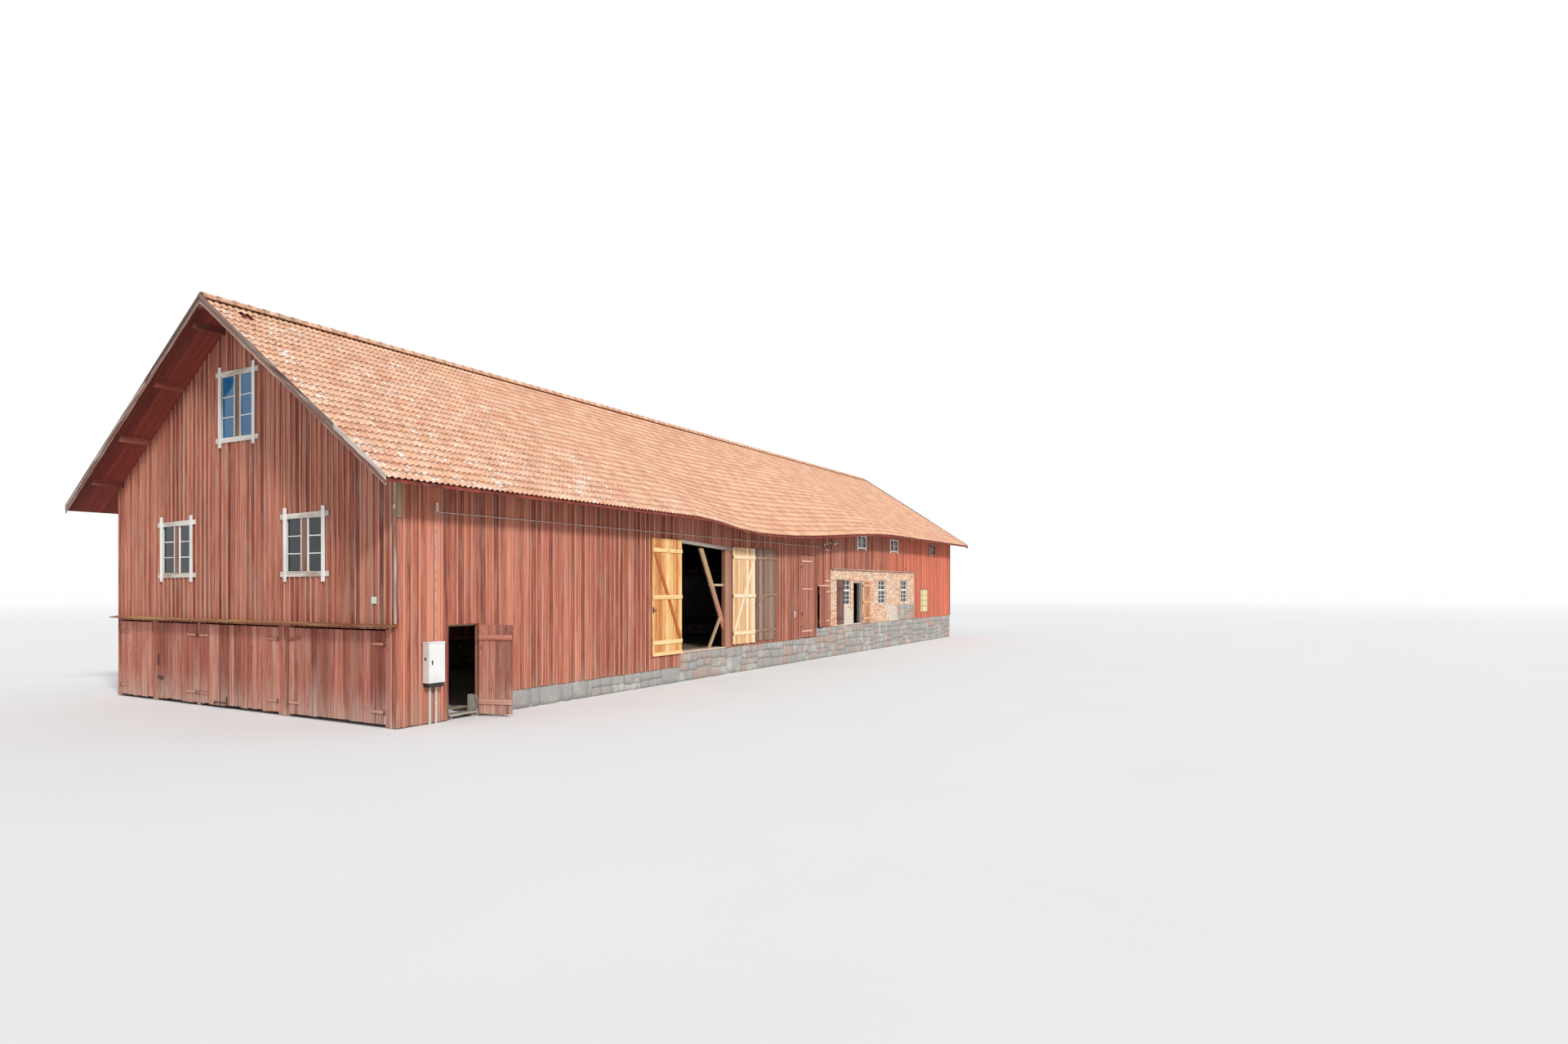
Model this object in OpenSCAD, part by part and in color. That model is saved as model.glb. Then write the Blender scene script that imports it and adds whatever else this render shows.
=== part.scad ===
// Long red timber barn with a clay-tile roof, a wavy front eave, cart bays
// under the near gable, a threshing floor and a brick stable.
// Frame: +X along the building away from the near gable, the front wall
// faces -Y, +Z up. The origin is on the lowest ground, under the middle.
// Places along the front are measured from the near gable and add up from
// the lengths below. All sizes are in millimetres.

/* [Building] */
// Width of the building across its gables
wall_w = 11800; // [11300:50:12600]
// Thickness of the boarded frame walls
wall_t = 150; // [130:5:180]
// Thickness of the brick walls of the stable
brick_t = 260; // [200:10:300]
// Height of the tile surface at the ridge line
ridge_z = 9930; // [9500:10:10400]
// Height of the tile surface at the near part of the eaves
eave_h = 5240; // [5100:10:5400]
// Distance from the walls to the edge of the eaves, level
eave_out = 850; // [840:5:950]
// Distance from the gables to the edge of the verges
verge_out = 850; // [500:10:900]

/* [Wavy eave] */
// How far the eave sinks beside the main doorway
eave_sag = 300; // [0:10:330]
// Where the sinking starts
sag_from = 10300; // [9800:100:10800]
// Where the eave is lowest
sag_to = 13900; // [13500:100:14300]
// How far the eave climbs again towards the far end
eave_rise = 600; // [300:10:650]
// Where the climb starts
rise_from = 14500; // [14000:100:15000]
// Where the climb ends
rise_to = 27000; // [25000:100:29000]

/* [Roof pieces] */
// Height that the tile layer takes up
tile_t = 100; // [80:5:120]
// Height that the roof boarding takes up
board_t = 30; // [22:1:35]
// Width of the purlins
purlin_w = 180; // [140:10:200]
// Height of the purlins
purlin_h = 200; // [160:10:220]
// Distance of the top purlin's middle from the ridge plane
purlin_1 = 610; // [500:10:700]
// Distance of the second purlin's middle from the ridge plane
purlin_2 = 2380; // [2200:10:2500]
// Distance of the third purlin's middle from the ridge plane
purlin_3 = 4150; // [4000:10:4250]
// Gap between the lowest purlin and the wall's inner face
plate_gap = 10; // [5:1:20]
// Width of the ridge tiles
ridge_tile_w = 300; // [240:10:360]
// Height of the ridge tiles over the tile surface at the ridge
ridge_tile_rise = 70; // [50:5:90]
// Height of the bargeboards
barge_h = 240; // [180:10:280]
// Thickness of the bargeboards
barge_t = 28; // [20:1:35]
// How far the bargeboards stand over the tile surface
barge_up = 20; // [10:1:30]

/* [Roof frames] */
// Number of roof frames inside the building
frame_n = 10; // [8:1:12]
// Thickness of the roof frames' timbers, along the building
frame_t = 180; // [140:10:200]
// Depth of the tie beams and principal rafters
frame_d = 200; // [160:10:220]
// Width of the posts in the roof frames
frame_post_w = 160; // [120:10:180]
// Height of the principal rafters' feet over the tie beams
frame_heel = 60; // [20:10:100]

/* [Floors and foundation] */
// Level of the threshing floor
thresh_z = 920; // [880:10:960]
// Level of the stable floor
stable_z = 1300; // [1250:10:1350]
// Level of the hay loft floor over the stable
hay_z = 3850; // [3750:10:3900]
// Level of the loft floor over the cart bays
loft_z = 2250; // [2200:10:2300]
// Thickness of the loft floor with its joists
loft_t = 130; // [90:5:135]
// Thickness of the other floors with their joists
floor_t = 180; // [120:10:200]
// Level of the front wall's lower edge before the main doorway
sill_z = 480; // [380:10:560]
// Thickness of the stone foundation
stone_t = 380; // [300:10:450]
// How far the stone foundation stands back from the boards
stone_back = 25; // [10:5:40]
// Thickness of the stone cross walls
cross_t = 350; // [300:10:450]

/* [Near gable] */
// Level of the gable wall's lower edge, over the cart bay doors
gable_z = 2110; // [2080:5:2140]
// Level of the drip board's upper edge at the gable
ledge_z = 2230; // [2200:5:2260]
// How far the drip board stands out
ledge_out = 190; // [120:10:220]
// Height of the drip board at its root
ledge_h = 75; // [50:5:90]
// Thickness of the drip board's edge
ledge_t = 30; // [20:1:40]
// Width of the post at the near corner
corner_post_w = 380; // [340:10:420]
// Width of a pair of cart bay doors beside the near corner, with its gaps
bay_1_w = 3430; // [3300:10:3500]
// Width of the post between the first and the second pair
post_12_w = 430; // [380:10:480]
// Width of the second pair of cart bay doors, with its gaps
bay_2_w = 3395; // [3300:10:3450]
// Width of the wider door of the second pair
door_d_w = 1840; // [1700:10:1900]
// Width of the narrow hinge post between the second and third pair
post_23_w = 130; // [110:10:150]
// Width of the first door of the third pair, with its gaps
bay_3_w = 1930; // [1850:10:1980]
// Width of the strip between the doors of the third pair
strip_w = 270; // [230:10:290]
// Width of the post at the back corner
end_post_w = 190; // [170:5:220]
// Level of the cart bay doors' lower edge
gable_door_z = 60; // [40:5:90]

/* [Gable windows] */
// Width of a gable window over its frame
gwin_w = 1430; // [1300:10:1500]
// Height of the lower gable windows over their frames
gwin_h = 1310; // [1200:10:1400]
// Level of the lower gable windows' lower edge
gwin_z = 3340; // [3250:10:3450]
// Middle of the first lower window, from the near corner
gwin_1 = 3225; // [3100:25:3400]
// Middle of the second lower window, from the near corner
gwin_2 = 8730; // [8500:10:8900]
// Middle of the top window, from the near corner
gwin_3 = 5955; // [5850:5:6050]
// Height of the top window over its frame
twin_h = 1600; // [1500:10:1650]
// Distance of the top window's lower edge below the ridge line
twin_drop = 3260; // [3220:10:3380]
// Width of the white trim boards
trim_w = 120; // [90:5:140]
// Thickness of the white trim boards
trim_t = 25; // [18:1:30]
// How far the trim boards run past their crossings
trim_ear = 190; // [100:10:220]
// Depth of the window frames in the wall
sash_t = 60; // [45:5:80]
// Width of the window frames' members
sash_w = 55; // [45:5:70]
// Width of the boarded post in the middle of a gable window
mullion_w = 200; // [120:10:260]
// Thickness of the glass
glass_t = 6; // [4:1:8]

/* [Front wall] */
// Length of the boarded corner before the low doorway
corner_len = 1350; // [1250:10:1450]
// Width of the low doorway
low_door_w = 860; // [800:10:900]
// Level of the low doorway's head
low_door_head = 2160; // [2120:5:2240]
// Length of the wall between the low doorway and the main doorway
left_len = 8040; // [7900:10:8100]
// Width of the main doorway up to its post
main_door_w = 2610; // [2500:10:2700]
// Level of the main doorway's head at its left end
main_head = 4430; // [4300:10:4450]
// Width of the weathered post beside the main doorway
main_post_w = 440; // [380:10:480]
// Height of the lintel over the main doorway
lintel_h = 110; // [80:5:120]
// Tilt of the lintel, in degrees
lintel_tilt = 3; // [0:0.5:3.5]
// Length of the wall between the main doorway and the red door
middle_len = 5260; // [5150:10:5350]
// Width of the tall red door's opening
red_door_w = 1370; // [1250:10:1400]
// Level of the red door's head
red_door_head = 4330; // [4200:10:4360]
// Width of the post between the red door and the bay door
bay_post_w = 100; // [80:5:120]
// Width of the small bay door's opening
bay_door_w = 1150; // [1050:10:1200]
// Level of the bay door's head
bay_door_head = 3060; // [3000:10:3200]
// Length of the brick stable wall
brick_len = 10500; // [10200:10:10700]
// Length of the boarded far end of the front wall
far_len = 6220; // [6000:20:6400]
// Level of the brick wall's top
brick_top = 3780; // [3700:10:3790]
// How far the drip board over the bricks stands out
drip_out = 90; // [60:5:110]
// Thickness of the drip board over the bricks
drip_t = 40; // [30:1:50]

/* [Old timbers in the main doorway] */
// Width of the long leaning prop
prop_w = 210; // [160:10:240]
// Thickness of the props
prop_t = 60; // [40:5:75]
// How far the props stand behind the wall's outer face
prop_in = 70; // [50:5:75]
// How far the prop's head stands from the post
prop_run = 1400; // [1200:20:1500]
// Height at which the long prop meets the post
prop_foot_z = 1700; // [1600:20:1800]
// Width of the short prop
short_prop_w = 100; // [70:5:120]
// Distance of the short prop's foot from the post
short_foot = 910; // [800:10:1000]
// Distance of the short prop's head from the post
short_head = 150; // [100:10:200]
// Height of the short prop's head over the long prop's lower end
short_rise = 330; // [250:10:400]
// Height of the rail between prop and post
rail_z = 3085; // [2900:20:3200]
// Length of the rail
rail_len = 860; // [800:10:900]
// Width of the rail
rail_w = 70; // [50:5:90]

/* [Stable openings] */
// How far the stable windows stand back in the bricks
swin_in = 60; // [30:5:90]
// Width of the trim boards of the hay loft windows
loft_trim_w = 90; // [70:5:100]
// Distance of the first stable window from the start of the bricks
swin_1 = 1330; // [1250:10:1400]
// Width of the first stable window
swin_1_w = 800; // [740:10:820]
// Distance of the stable doorway from the start of the bricks
stable_door_at = 2420; // [2380:10:2450]
// Width of the stable doorway
stable_door_w = 960; // [900:10:1000]
// Level of the stable doorway's head
stable_head = 3260; // [3200:10:3320]
// Distance of the second stable window from the start of the bricks
swin_2 = 5400; // [5300:10:5500]
// Width of the second and third stable windows
swin_w = 950; // [850:10:1000]
// Distance of the third stable window from the start of the bricks
swin_3 = 8450; // [8300:10:8550]
// Level of the stable windows' lower edge
swin_z = 2200; // [2100:10:2280]
// Height of the stable windows
swin_h = 1130; // [1050:10:1150]
// Width of the hay loft windows
lwin_w = 1000; // [900:10:1100]
// Height of the hay loft windows
lwin_h = 560; // [480:10:600]
// Level of the hay loft windows' lower edge
lwin_z = 4820; // [4780:10:4850]
// Distance of the first hay loft window from the start of the bricks
lwin_1 = 2850; // [2700:10:3000]
// Distance of the second hay loft window from the start of the bricks
lwin_2 = 6950; // [6800:10:7100]
// Distance of the far loft window from the end of the bricks
lwin_3 = 2400; // [2300:10:2500]
// Distance of the tall window from the end of the bricks
fwin_at = 950; // [800:10:1050]
// Width of the tall window
fwin_w = 1230; // [1150:10:1300]
// Height of the tall window
fwin_h = 1300; // [1200:10:1400]
// Level of the tall window's lower edge
fwin_z = 1600; // [1500:10:1700]

/* [Door leaves] */
// Thickness of the doors' boards
leaf_t = 28; // [22:1:32]
// Thickness of the doors' ledges
ledger_t = 30; // [24:1:32]
// Height of the doors' ledges
ledger_h = 120; // [100:5:150]
// Gap between a leaf and what it closes against
leaf_gap = 10; // [8:1:14]
// Gap between a leaf that is folded open and the wall
fold_gap = 12; // [10:1:16]
// Height of the left main door
main_leaf_h = 3600; // [3500:10:3650]
// Level of the left main door's lower edge
main_leaf_z = 905; // [880:5:930]
// Height of the right main door, which the sunken lintel leaves shorter
right_leaf_h = 3410; // [3350:10:3450]
// Level of the right main door's lower edge
right_leaf_z = 1000; // [980:5:1020]
// Height of the old grey door
grey_leaf_h = 3380; // [3300:10:3450]
// Level of the old grey door's lower edge
grey_leaf_z = 1030; // [1000:10:1060]
// Width of the old grey door
grey_leaf_w = 1480; // [1400:10:1490]
// Distance of the grey door's hinges from the main doorway's post
grey_at = 3060; // [3040:5:3080]
// How far the low door stands open, in degrees
low_door_open = 107; // [95:1:110]
// How far the bay door stands open, in degrees
bay_door_ajar = 5; // [3:1:20]
// Radius of the hinge knuckles
knuckle_r = 13; // [11:0.5:14]
// Radius of the hinge pins
pin_r = 8; // [6:0.5:9]
// Height of a hinge knuckle
knuckle_h = 70; // [50:5:90]
// Running gap round the hinge pins
pin_gap = 0.6; // [0.3:0.1:1]
// Thickness of the shelf under a knuckle
pin_shelf = 14; // [10:1:18]
// How far a shelf reaches past its pin
pin_lip = 2; // [1:0.5:4]
// Distance from a fold-back leaf's hinge axis to its edge
fold_edge = 20; // [18:1:24]
// Distance from an inset leaf's hinge axis to its edge
inset_edge = 16; // [15:1:20]
// Thickness of the lugs of the fold-back leaves
lug_t = 12; // [8:1:14]
// Thickness of the strap battens of the inset leaves
strap_t = 22; // [16:1:24]
// Length of the strap battens
strap_len = 420; // [300:10:500]

/* [Fittings] */
// Width of the meter cabinet
cabinet_w = 480; // [400:10:520]
// Height of the meter cabinet
cabinet_h = 900; // [800:10:950]
// Depth of the meter cabinet
cabinet_d = 220; // [180:10:260]
// Level of the meter cabinet's lower edge
cabinet_z = 920; // [850:10:1000]
// Distance of the meter cabinet from the near corner
cabinet_at = 640; // [550:10:700]
// Radius of the pipes below the cabinet
pipe_r = 30; // [20:1:40]
// Radius of the wall cable
cable_r = 9; // [6:1:12]
// Distance of the wall cable's middle from the wall
cable_out = 55; // [40:5:70]
// Height of the wall cable at its near end
cable_z = 4680; // [4640:5:4720]
// Distance of the cable's riser from the near corner
riser_x = 980; // [900:10:1080]
// Distance of the cable's far end from the near corner
cable_end_x = 20160; // [20000:20:20300]

/* [Hidden] */

// Gap at a seat between two pieces
seat = 0.3;
// What a cutting tool runs past the faces that it cuts
over = 5;

// Places along the front wall, from the near gable
low_door_x = corner_len;
left_x = low_door_x + low_door_w;
main_x = left_x + left_len;
post_x = main_x + main_door_w;
middle_x = post_x + main_post_w;
red_x = middle_x + middle_len;
bay_post_x = red_x + red_door_w;
bay_x = bay_post_x + bay_post_w;
bay_jamb_x = bay_x + bay_door_w;
brick_x = bay_jamb_x + bay_post_w;
far_x = brick_x + brick_len;
wall_len = far_x + far_len;

front_y = wall_w / 2;
inner_y = front_y - wall_t;
eave_y = front_y + eave_out;
roof_x0 = -verge_out;
roof_x1 = wall_len + verge_out;

// Places across the near gable, from the near corner
bay_1_at = corner_post_w;
post_12_at = bay_1_at + bay_1_w;
bay_2_at = post_12_at + post_12_w;
post_23_at = bay_2_at + bay_2_w;
bay_3_at = post_23_at + post_23_w;
strip_at = bay_3_at + bay_3_w;
bay_4_at = strip_at + strip_w;
end_post_at = wall_w - end_post_w;

// The foundation's inner face, and the near face of its far cross wall
stone_in = front_y - stone_back - stone_t;
far_stone_x = wall_len - stone_back - cross_t;

// Openings: middle and width, or middle, lower edge and height at the gables
stable_windows = [
    [brick_x + swin_1 + swin_1_w / 2, swin_1_w],
    [brick_x + swin_2 + swin_w / 2, swin_w],
    [brick_x + swin_3 + swin_w / 2, swin_w]
];
stable_door_x = brick_x + stable_door_at;
loft_windows = [brick_x + lwin_1 + lwin_w / 2, brick_x + lwin_2 + lwin_w / 2];
far_loft_x = far_x + lwin_3 + lwin_w / 2;
front_lofts = concat(loft_windows, [far_loft_x]);
fwin_x = far_x + fwin_at + fwin_w / 2;
gable_windows = [
    [gwin_1, gwin_z, gwin_h], [gwin_2, gwin_z, gwin_h],
    [gwin_3, ridge_z - twin_drop, twin_h]
];

// The back repeats only these: the main doorway looks into a dark barn, with
// no light from windows opposite
back_stables = [stable_windows[0]];
back_lofts = [loft_windows[0], far_loft_x];

// Door leaves
cart_leaf_h = gable_z - 3 * leaf_gap - gable_door_z;
main_leaf_w = (main_door_w + main_post_w) / 2 - leaf_gap;
grey_x = middle_x + grey_at;
low_leaf_z = gable_door_z;
low_leaf_h = low_door_head - 2 * leaf_gap - low_leaf_z;
red_leaf_z = thresh_z + 3 * leaf_gap;
red_leaf_h = red_door_head - 2 * leaf_gap - red_leaf_z;
bay_leaf_z = stable_z + 3 * leaf_gap;
bay_leaf_h = bay_door_head - 2 * leaf_gap - bay_leaf_z;
stable_leaf_z = stable_z + 2 * leaf_gap;
stable_leaf_h = stable_head + leaf_gap - stable_leaf_z;

// Heights of ledges and hinges as shares of a leaf's height
fold_hinges = [0.115, 0.5, 0.9];
inset_hinges = [0.14, 0.86];

// Distances of the hinge axes from the wall's face. A leaf that folds back
// has its axis in the middle between its open and its closed place.
fold_axis = fold_gap + (leaf_t + ledger_t) / 2;
inset_axis = knuckle_r + leaf_gap / 2;

// Play between the weathered post and the lintel's slanting underside
post_play = 0.2;

// Height of the main lintel's lower edge along the front
function lintel_z(x) = main_head - (x - main_x) * tan(lintel_tilt);

// Underside of the ridge beam
ridge_beam_z = ridge_z - tile_t - board_t - purlin_h;

// Height of the tile surface at the eave's edge, along the building
function smooth(t) = let (s = min(1, max(0, t))) s * s * (3 - 2 * s);
function eave_at(x) =
    eave_h
    - eave_sag * smooth((x - sag_from) / (sag_to - sag_from))
    + eave_rise * smooth((x - rise_from) / (rise_to - rise_from));
wave_n = 14;
wave_step = (rise_to - sag_from) / wave_n;
stations = concat(
    [roof_x0],
    [for (i = [0:wave_n]) sag_from + i * wave_step],
    [roof_x1]
);
eave_table = [for (x = stations) [x, eave_at(x)]];

// Height of the tile surface over a point of the plan, y from the ridge plane
function roof_z(x, y) =
    let (e = lookup(x, eave_table)) e + (ridge_z - e) * (1 - abs(y) / eave_y);
function under_z(x, y) = roof_z(x, y) - tile_t - board_t;
function wall_top(x) = under_z(x, front_y) - seat;

// Lines along the roof where its surfaces have edges, from the ridge plane
plate_y = inner_y - plate_gap - purlin_w / 2;
purlin_mid = [purlin_1, purlin_2, purlin_3, plate_y];
roof_lines = concat(
    [0],
    [for (m = purlin_mid) for (d = [-1, 1]) m + d * purlin_w / 2],
    [front_y, eave_y]
);

// A layer of the roof on one side, swept along the stations. Its top lies
// drop below the tile surface and it is thick high. side is -1 in front.
// Top and underside are split along the same diagonals, so layers stack.
module roof_layer(side, lines, drop, thick) {
    n = len(lines);
    ring = 2 * n;
    m = len(stations);
    points = [
        for (x = stations)
        for (k = [0:ring - 1])
        let (y = k < n ? lines[k] : lines[ring - 1 - k])
        let (z = roof_z(x, y) - drop - (k < n ? 0 : thick))
        [x - wall_len / 2, side * y, z]
    ];
    sides = [
        for (j = [0:m - 2])
        for (k = [0:ring - 1])
        let (a = j * ring + k)
        let (b = j * ring + (k + 1) % ring)
        let (c = a + ring)
        let (d = b + ring)
        for (t = k < n ? [[a, b, d], [a, d, c]] : [[a, b, c], [b, d, c]]) t
    ];
    caps = [
        for (j = [0, m - 1])
        for (k = [0:n - 2])
        let (a = j * ring + k)
        let (b = a + 1)
        let (c = j * ring + ring - 1 - k)
        let (d = c - 1)
        for (t = j == 0 ? [[a, d, b], [a, c, d]] : [[a, b, d], [a, d, c]]) t
    ];
    faces = [
        for (t = concat(sides, caps))
        side < 0 ? [t[0], t[2], t[1]] : t
    ];
    polyhedron(points = points, faces = faces, convexity = 6);
}

// A slab in the plane of a long wall, drawn as [place along, height]
module long_slab(side, depth, outline) {
    translate([-wall_len / 2, side < 0 ? depth - front_y : front_y, 0])
        rotate([90, 0, 0])
            linear_extrude(height = depth)
                polygon(outline);
}

// A wall outline whose top follows the roof
function under_roof(x0, x1, z0) = concat(
    [[x1, z0], [x1, wall_top(x1)]],
    [for (i = [len(stations) - 1:-1:0])
        if (stations[i] > x0 && stations[i] < x1)
            [stations[i], wall_top(stations[i])]],
    [[x0, wall_top(x0)], [x0, z0]]
);

function level(x0, x1, z0, z1) = [[x0, z0], [x1, z0], [x1, z1], [x0, z1]];

// A slab in the plane of a gable, drawn as [y, height], x from the near face
module cross_slab(x, depth, outline) {
    translate([x - wall_len / 2, 0, 0])
        rotate([90, 0, 90])
            linear_extrude(height = depth)
                polygon(outline);
}

// A block by its low corner along the front and its size
module block(x, y, z, dx, dy, dz) {
    translate([x - wall_len / 2, y, z])
        cube([dx, dy, dz]);
}

// Puts children at a place along the front wall, outward is -y
module at_front(x) {
    translate([x - wall_len / 2, -front_y, 0])
        children();
}

// Puts children on the near gable at a place from the near corner. Their
// +x runs towards the near corner and outward is -y.
module at_gable(w) {
    translate([-wall_len / 2, -front_y + w, 0])
        rotate([0, 0, -90])
            children();
}

// The same on the far gable, and on the back wall. Outward is -y.
module at_far_gable(w) {
    translate([wall_len / 2, -front_y + w, 0])
        rotate([0, 0, 90])
            children();
}

module at_back(x) {
    translate([x - wall_len / 2, front_y, 0])
        rotate([0, 0, 180])
            children();
}

module flip(yes) {
    mirror([yes ? 1 : 0, 0, 0])
        children();
}

// Stone foundation along the front, stepped to the level of each doorsill
module stone_foundation_front() {
    color("dimgray")
        foundation_run(-front_y + stone_back, left_x);
}

module stone_foundation_back() {
    color("dimgray")
        foundation_run(stone_in, low_door_x);
}

module foundation_run(y, start) {
    block(start, y, 0, main_x - start, stone_t, sill_z);
    block(main_x, y, 0, bay_post_x - main_x, stone_t, thresh_z);
    block(bay_post_x, y, 0, wall_len - bay_post_x, stone_t, stable_z);
}

module stone_foundation_far() {
    color("dimgray")
        block(far_stone_x, -stone_in, 0, cross_t, 2 * stone_in, stable_z);
}

// Retaining wall between the cart bays and the threshing floor
module stone_cross_wall() {
    color("dimgray")
        block(main_x - cross_t, -stone_in, 0, cross_t, 2 * stone_in, thresh_z);
}

// Stone step between the threshing floor and the higher stable floor
module stone_step_wall() {
    color("dimgray")
        block(bay_post_x, -stone_in, 0, cross_t, 2 * stone_in, stable_z);
}

module front_wall_corner() {
    color("firebrick")
        long_slab(-1, wall_t, under_roof(0, low_door_x, 0));
}

module front_wall_left() {
    color("firebrick")
        long_slab(-1, wall_t, under_roof(left_x, main_x, sill_z));
}

module front_wall_middle() {
    color("firebrick")
        long_slab(-1, wall_t, under_roof(middle_x, red_x, thresh_z));
}

// Boarded walls over the low, main, red and bay doorways
module walls_over_doorways() {
    color("firebrick") {
        long_slab(-1, wall_t, under_roof(low_door_x, left_x, low_door_head));
        long_slab(-1, wall_t, concat(
            [for (p = under_roof(main_x, middle_x, 0)) if (p[1] > 0) p],
            [[main_x, lintel_z(main_x) + lintel_h],
             [middle_x, lintel_z(middle_x) + lintel_h]]
        ));
        long_slab(-1, wall_t, under_roof(red_x, bay_post_x, red_door_head));
        long_slab(-1, wall_t, under_roof(bay_x, bay_jamb_x, bay_door_head));
    }
}

// Sagging lintel of the main doorway
module doorway_lintel() {
    color("gray")
        long_slab(-1, wall_t, [
            [main_x, lintel_z(main_x)], [middle_x, lintel_z(middle_x)],
            [middle_x, lintel_z(middle_x) + lintel_h],
            [main_x, lintel_z(main_x) + lintel_h]
        ]);
}

// Weathered post of the main doorway, and both posts of the bay door
module door_posts() {
    color("sienna")
        long_slab(-1, wall_t, [
            [post_x, thresh_z], [middle_x, thresh_z],
            [middle_x, lintel_z(middle_x) - post_play],
            [post_x, lintel_z(post_x) - post_play]
        ]);
    color("firebrick") {
        long_slab(-1, wall_t, under_roof(bay_post_x, bay_x, stable_z));
        long_slab(-1, wall_t, under_roof(bay_jamb_x, brick_x, stable_z));
    }
}

// Old timbers in the main doorway: a long prop that leans from the lintel
// to the post, a short prop under it and a rail between prop and post
module doorway_braces() {
    color("tan")
        intersection() {
            union() {
                bar([post_x - prop_run, lintel_z(post_x - prop_run)],
                    [post_x, prop_foot_z], prop_w);
                bar([post_x - short_foot, thresh_z],
                    [post_x - short_head, prop_foot_z + short_rise],
                    short_prop_w);
                bar([post_x - rail_len, rail_z], [post_x, rail_z], rail_w);
            }
            block(main_x, -front_y + prop_in, thresh_z,
                  post_x - main_x, prop_t, lintel_z(post_x) - thresh_z);
        }
}

// A flat timber between two points of the front's plane
module bar(from, to, width) {
    run = to - from;
    angle = atan2(run[1], run[0]);
    translate([from[0] - wall_len / 2, -front_y + prop_in, from[1]])
        rotate([0, -angle, 0])
            translate([-width, 0, -width / 2])
                cube([norm(run) + 2 * width, prop_t, width]);
}

// Brick wall of the stable with its doorway and three windows
module brick_wall_front() {
    color("indianred")
        difference() {
            long_slab(-1, brick_t,
                      level(brick_x, far_x, stable_z, brick_top));
            hole(-1, stable_door_x, stable_z - over, stable_door_w,
                 stable_head - stable_z + over);
            stable_window_holes(-1, stable_windows);
        }
}

module brick_wall_back() {
    color("indianred")
        difference() {
            long_slab(1, brick_t,
                      level(brick_x, far_x, stable_z, brick_top));
            stable_window_holes(1, back_stables);
        }
}

module stable_window_holes(side, windows) {
    for (w = windows)
        hole(side, w[0] - w[1] / 2, swin_z, w[1], swin_h);
}

// A hole through a long wall by its low corner and its size
module hole(side, x, z, dx, dz) {
    depth = max(wall_t, brick_t) + 2 * over;
    y = side < 0 ? -front_y - over : front_y + over - depth;
    block(x, y, z, dx, depth, dz);
}

module front_wall_hay_loft() {
    color("firebrick")
        difference() {
            long_slab(-1, wall_t, under_roof(brick_x, far_x, brick_top));
            for (x = loft_windows)
                hole(-1, x - lwin_w / 2, lwin_z, lwin_w, lwin_h);
        }
}

module front_wall_far() {
    color("firebrick")
        difference() {
            long_slab(-1, wall_t, under_roof(far_x, wall_len, stable_z));
            hole(-1, fwin_x - fwin_w / 2, fwin_z, fwin_w, fwin_h);
            hole(-1, far_loft_x - lwin_w / 2, lwin_z, lwin_w, lwin_h);
        }
}

module back_wall() {
    color("firebrick")
        difference() {
            union() {
                long_slab(1, wall_t, under_roof(0, low_door_x, 0));
                long_slab(1, wall_t, under_roof(low_door_x, main_x, sill_z));
                long_slab(1, wall_t, under_roof(main_x, bay_post_x, thresh_z));
                long_slab(1, wall_t, under_roof(bay_post_x, brick_x, stable_z));
                long_slab(1, wall_t, under_roof(brick_x, far_x, brick_top));
                long_slab(1, wall_t, under_roof(far_x, wall_len, stable_z));
            }
            for (x = back_lofts)
                hole(1, x - lwin_w / 2, lwin_z, lwin_w, lwin_h);
        }
}

// A gable wall between the long walls, notched round the purlins
module gable_wall(x, z0) {
    z_side = under_z(x, inner_y) - seat;
    difference() {
        cross_slab(x, wall_t, [
            [-inner_y, z0], [inner_y, z0], [inner_y, z_side],
            [0, under_z(x, 0) - seat], [-inner_y, z_side]
        ]);
        for (side = [-1, 1])
            for (m = purlin_mid) {
                y0 = m - purlin_w / 2 - seat;
                y1 = m == plate_y ? inner_y + over : m + purlin_w / 2 + seat;
                cross_slab(x - over, wall_t + 2 * over, [
                    [side * y0, under_z(x, y0) - purlin_h - 2 * seat],
                    [side * y1, under_z(x, y1) - purlin_h - 2 * seat],
                    [side * y1, ridge_z], [side * y0, ridge_z]
                ]);
            }
        block(x - over, -purlin_w / 2 - seat, ridge_beam_z - seat,
              wall_t + 2 * over, purlin_w + 2 * seat, ridge_z);
    }
}

module gable_wall_near() {
    color("firebrick")
        difference() {
            gable_wall(0, gable_z);
            gable_window_holes(-over);
        }
}

module gable_wall_far() {
    color("firebrick")
        difference() {
            gable_wall(wall_len - wall_t, stable_z);
            gable_window_holes(wall_len - wall_t - over);
        }
}

module gable_window_holes(x) {
    for (w = gable_windows)
        block(x, w[0] - front_y - gwin_w / 2, w[1],
              wall_t + 2 * over, gwin_w, w[2]);
}

// Posts between the cart bay doors
module gable_posts() {
    color("firebrick")
        for (p = [
            [wall_t, corner_post_w], [post_12_at, bay_2_at],
            [post_23_at, bay_3_at], [strip_at, bay_4_at],
            [end_post_at, wall_w - wall_t]
        ])
            block(0, p[0] - front_y, 0, wall_t, p[1] - p[0], gable_z);
}

// Drip board over the cart bay doors, with a bevelled underside
module gable_drip_board() {
    color("peru")
        translate([-wall_len / 2, front_y + ledge_t, 0])
            rotate([90, 0, 0])
                linear_extrude(height = wall_w + 2 * ledge_t)
                    polygon([
                        [0, ledge_z - ledge_h], [0, ledge_z],
                        [-ledge_out, ledge_z - ledge_t],
                        [-ledge_out, ledge_z - 2 * ledge_t]
                    ]);
}

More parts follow.
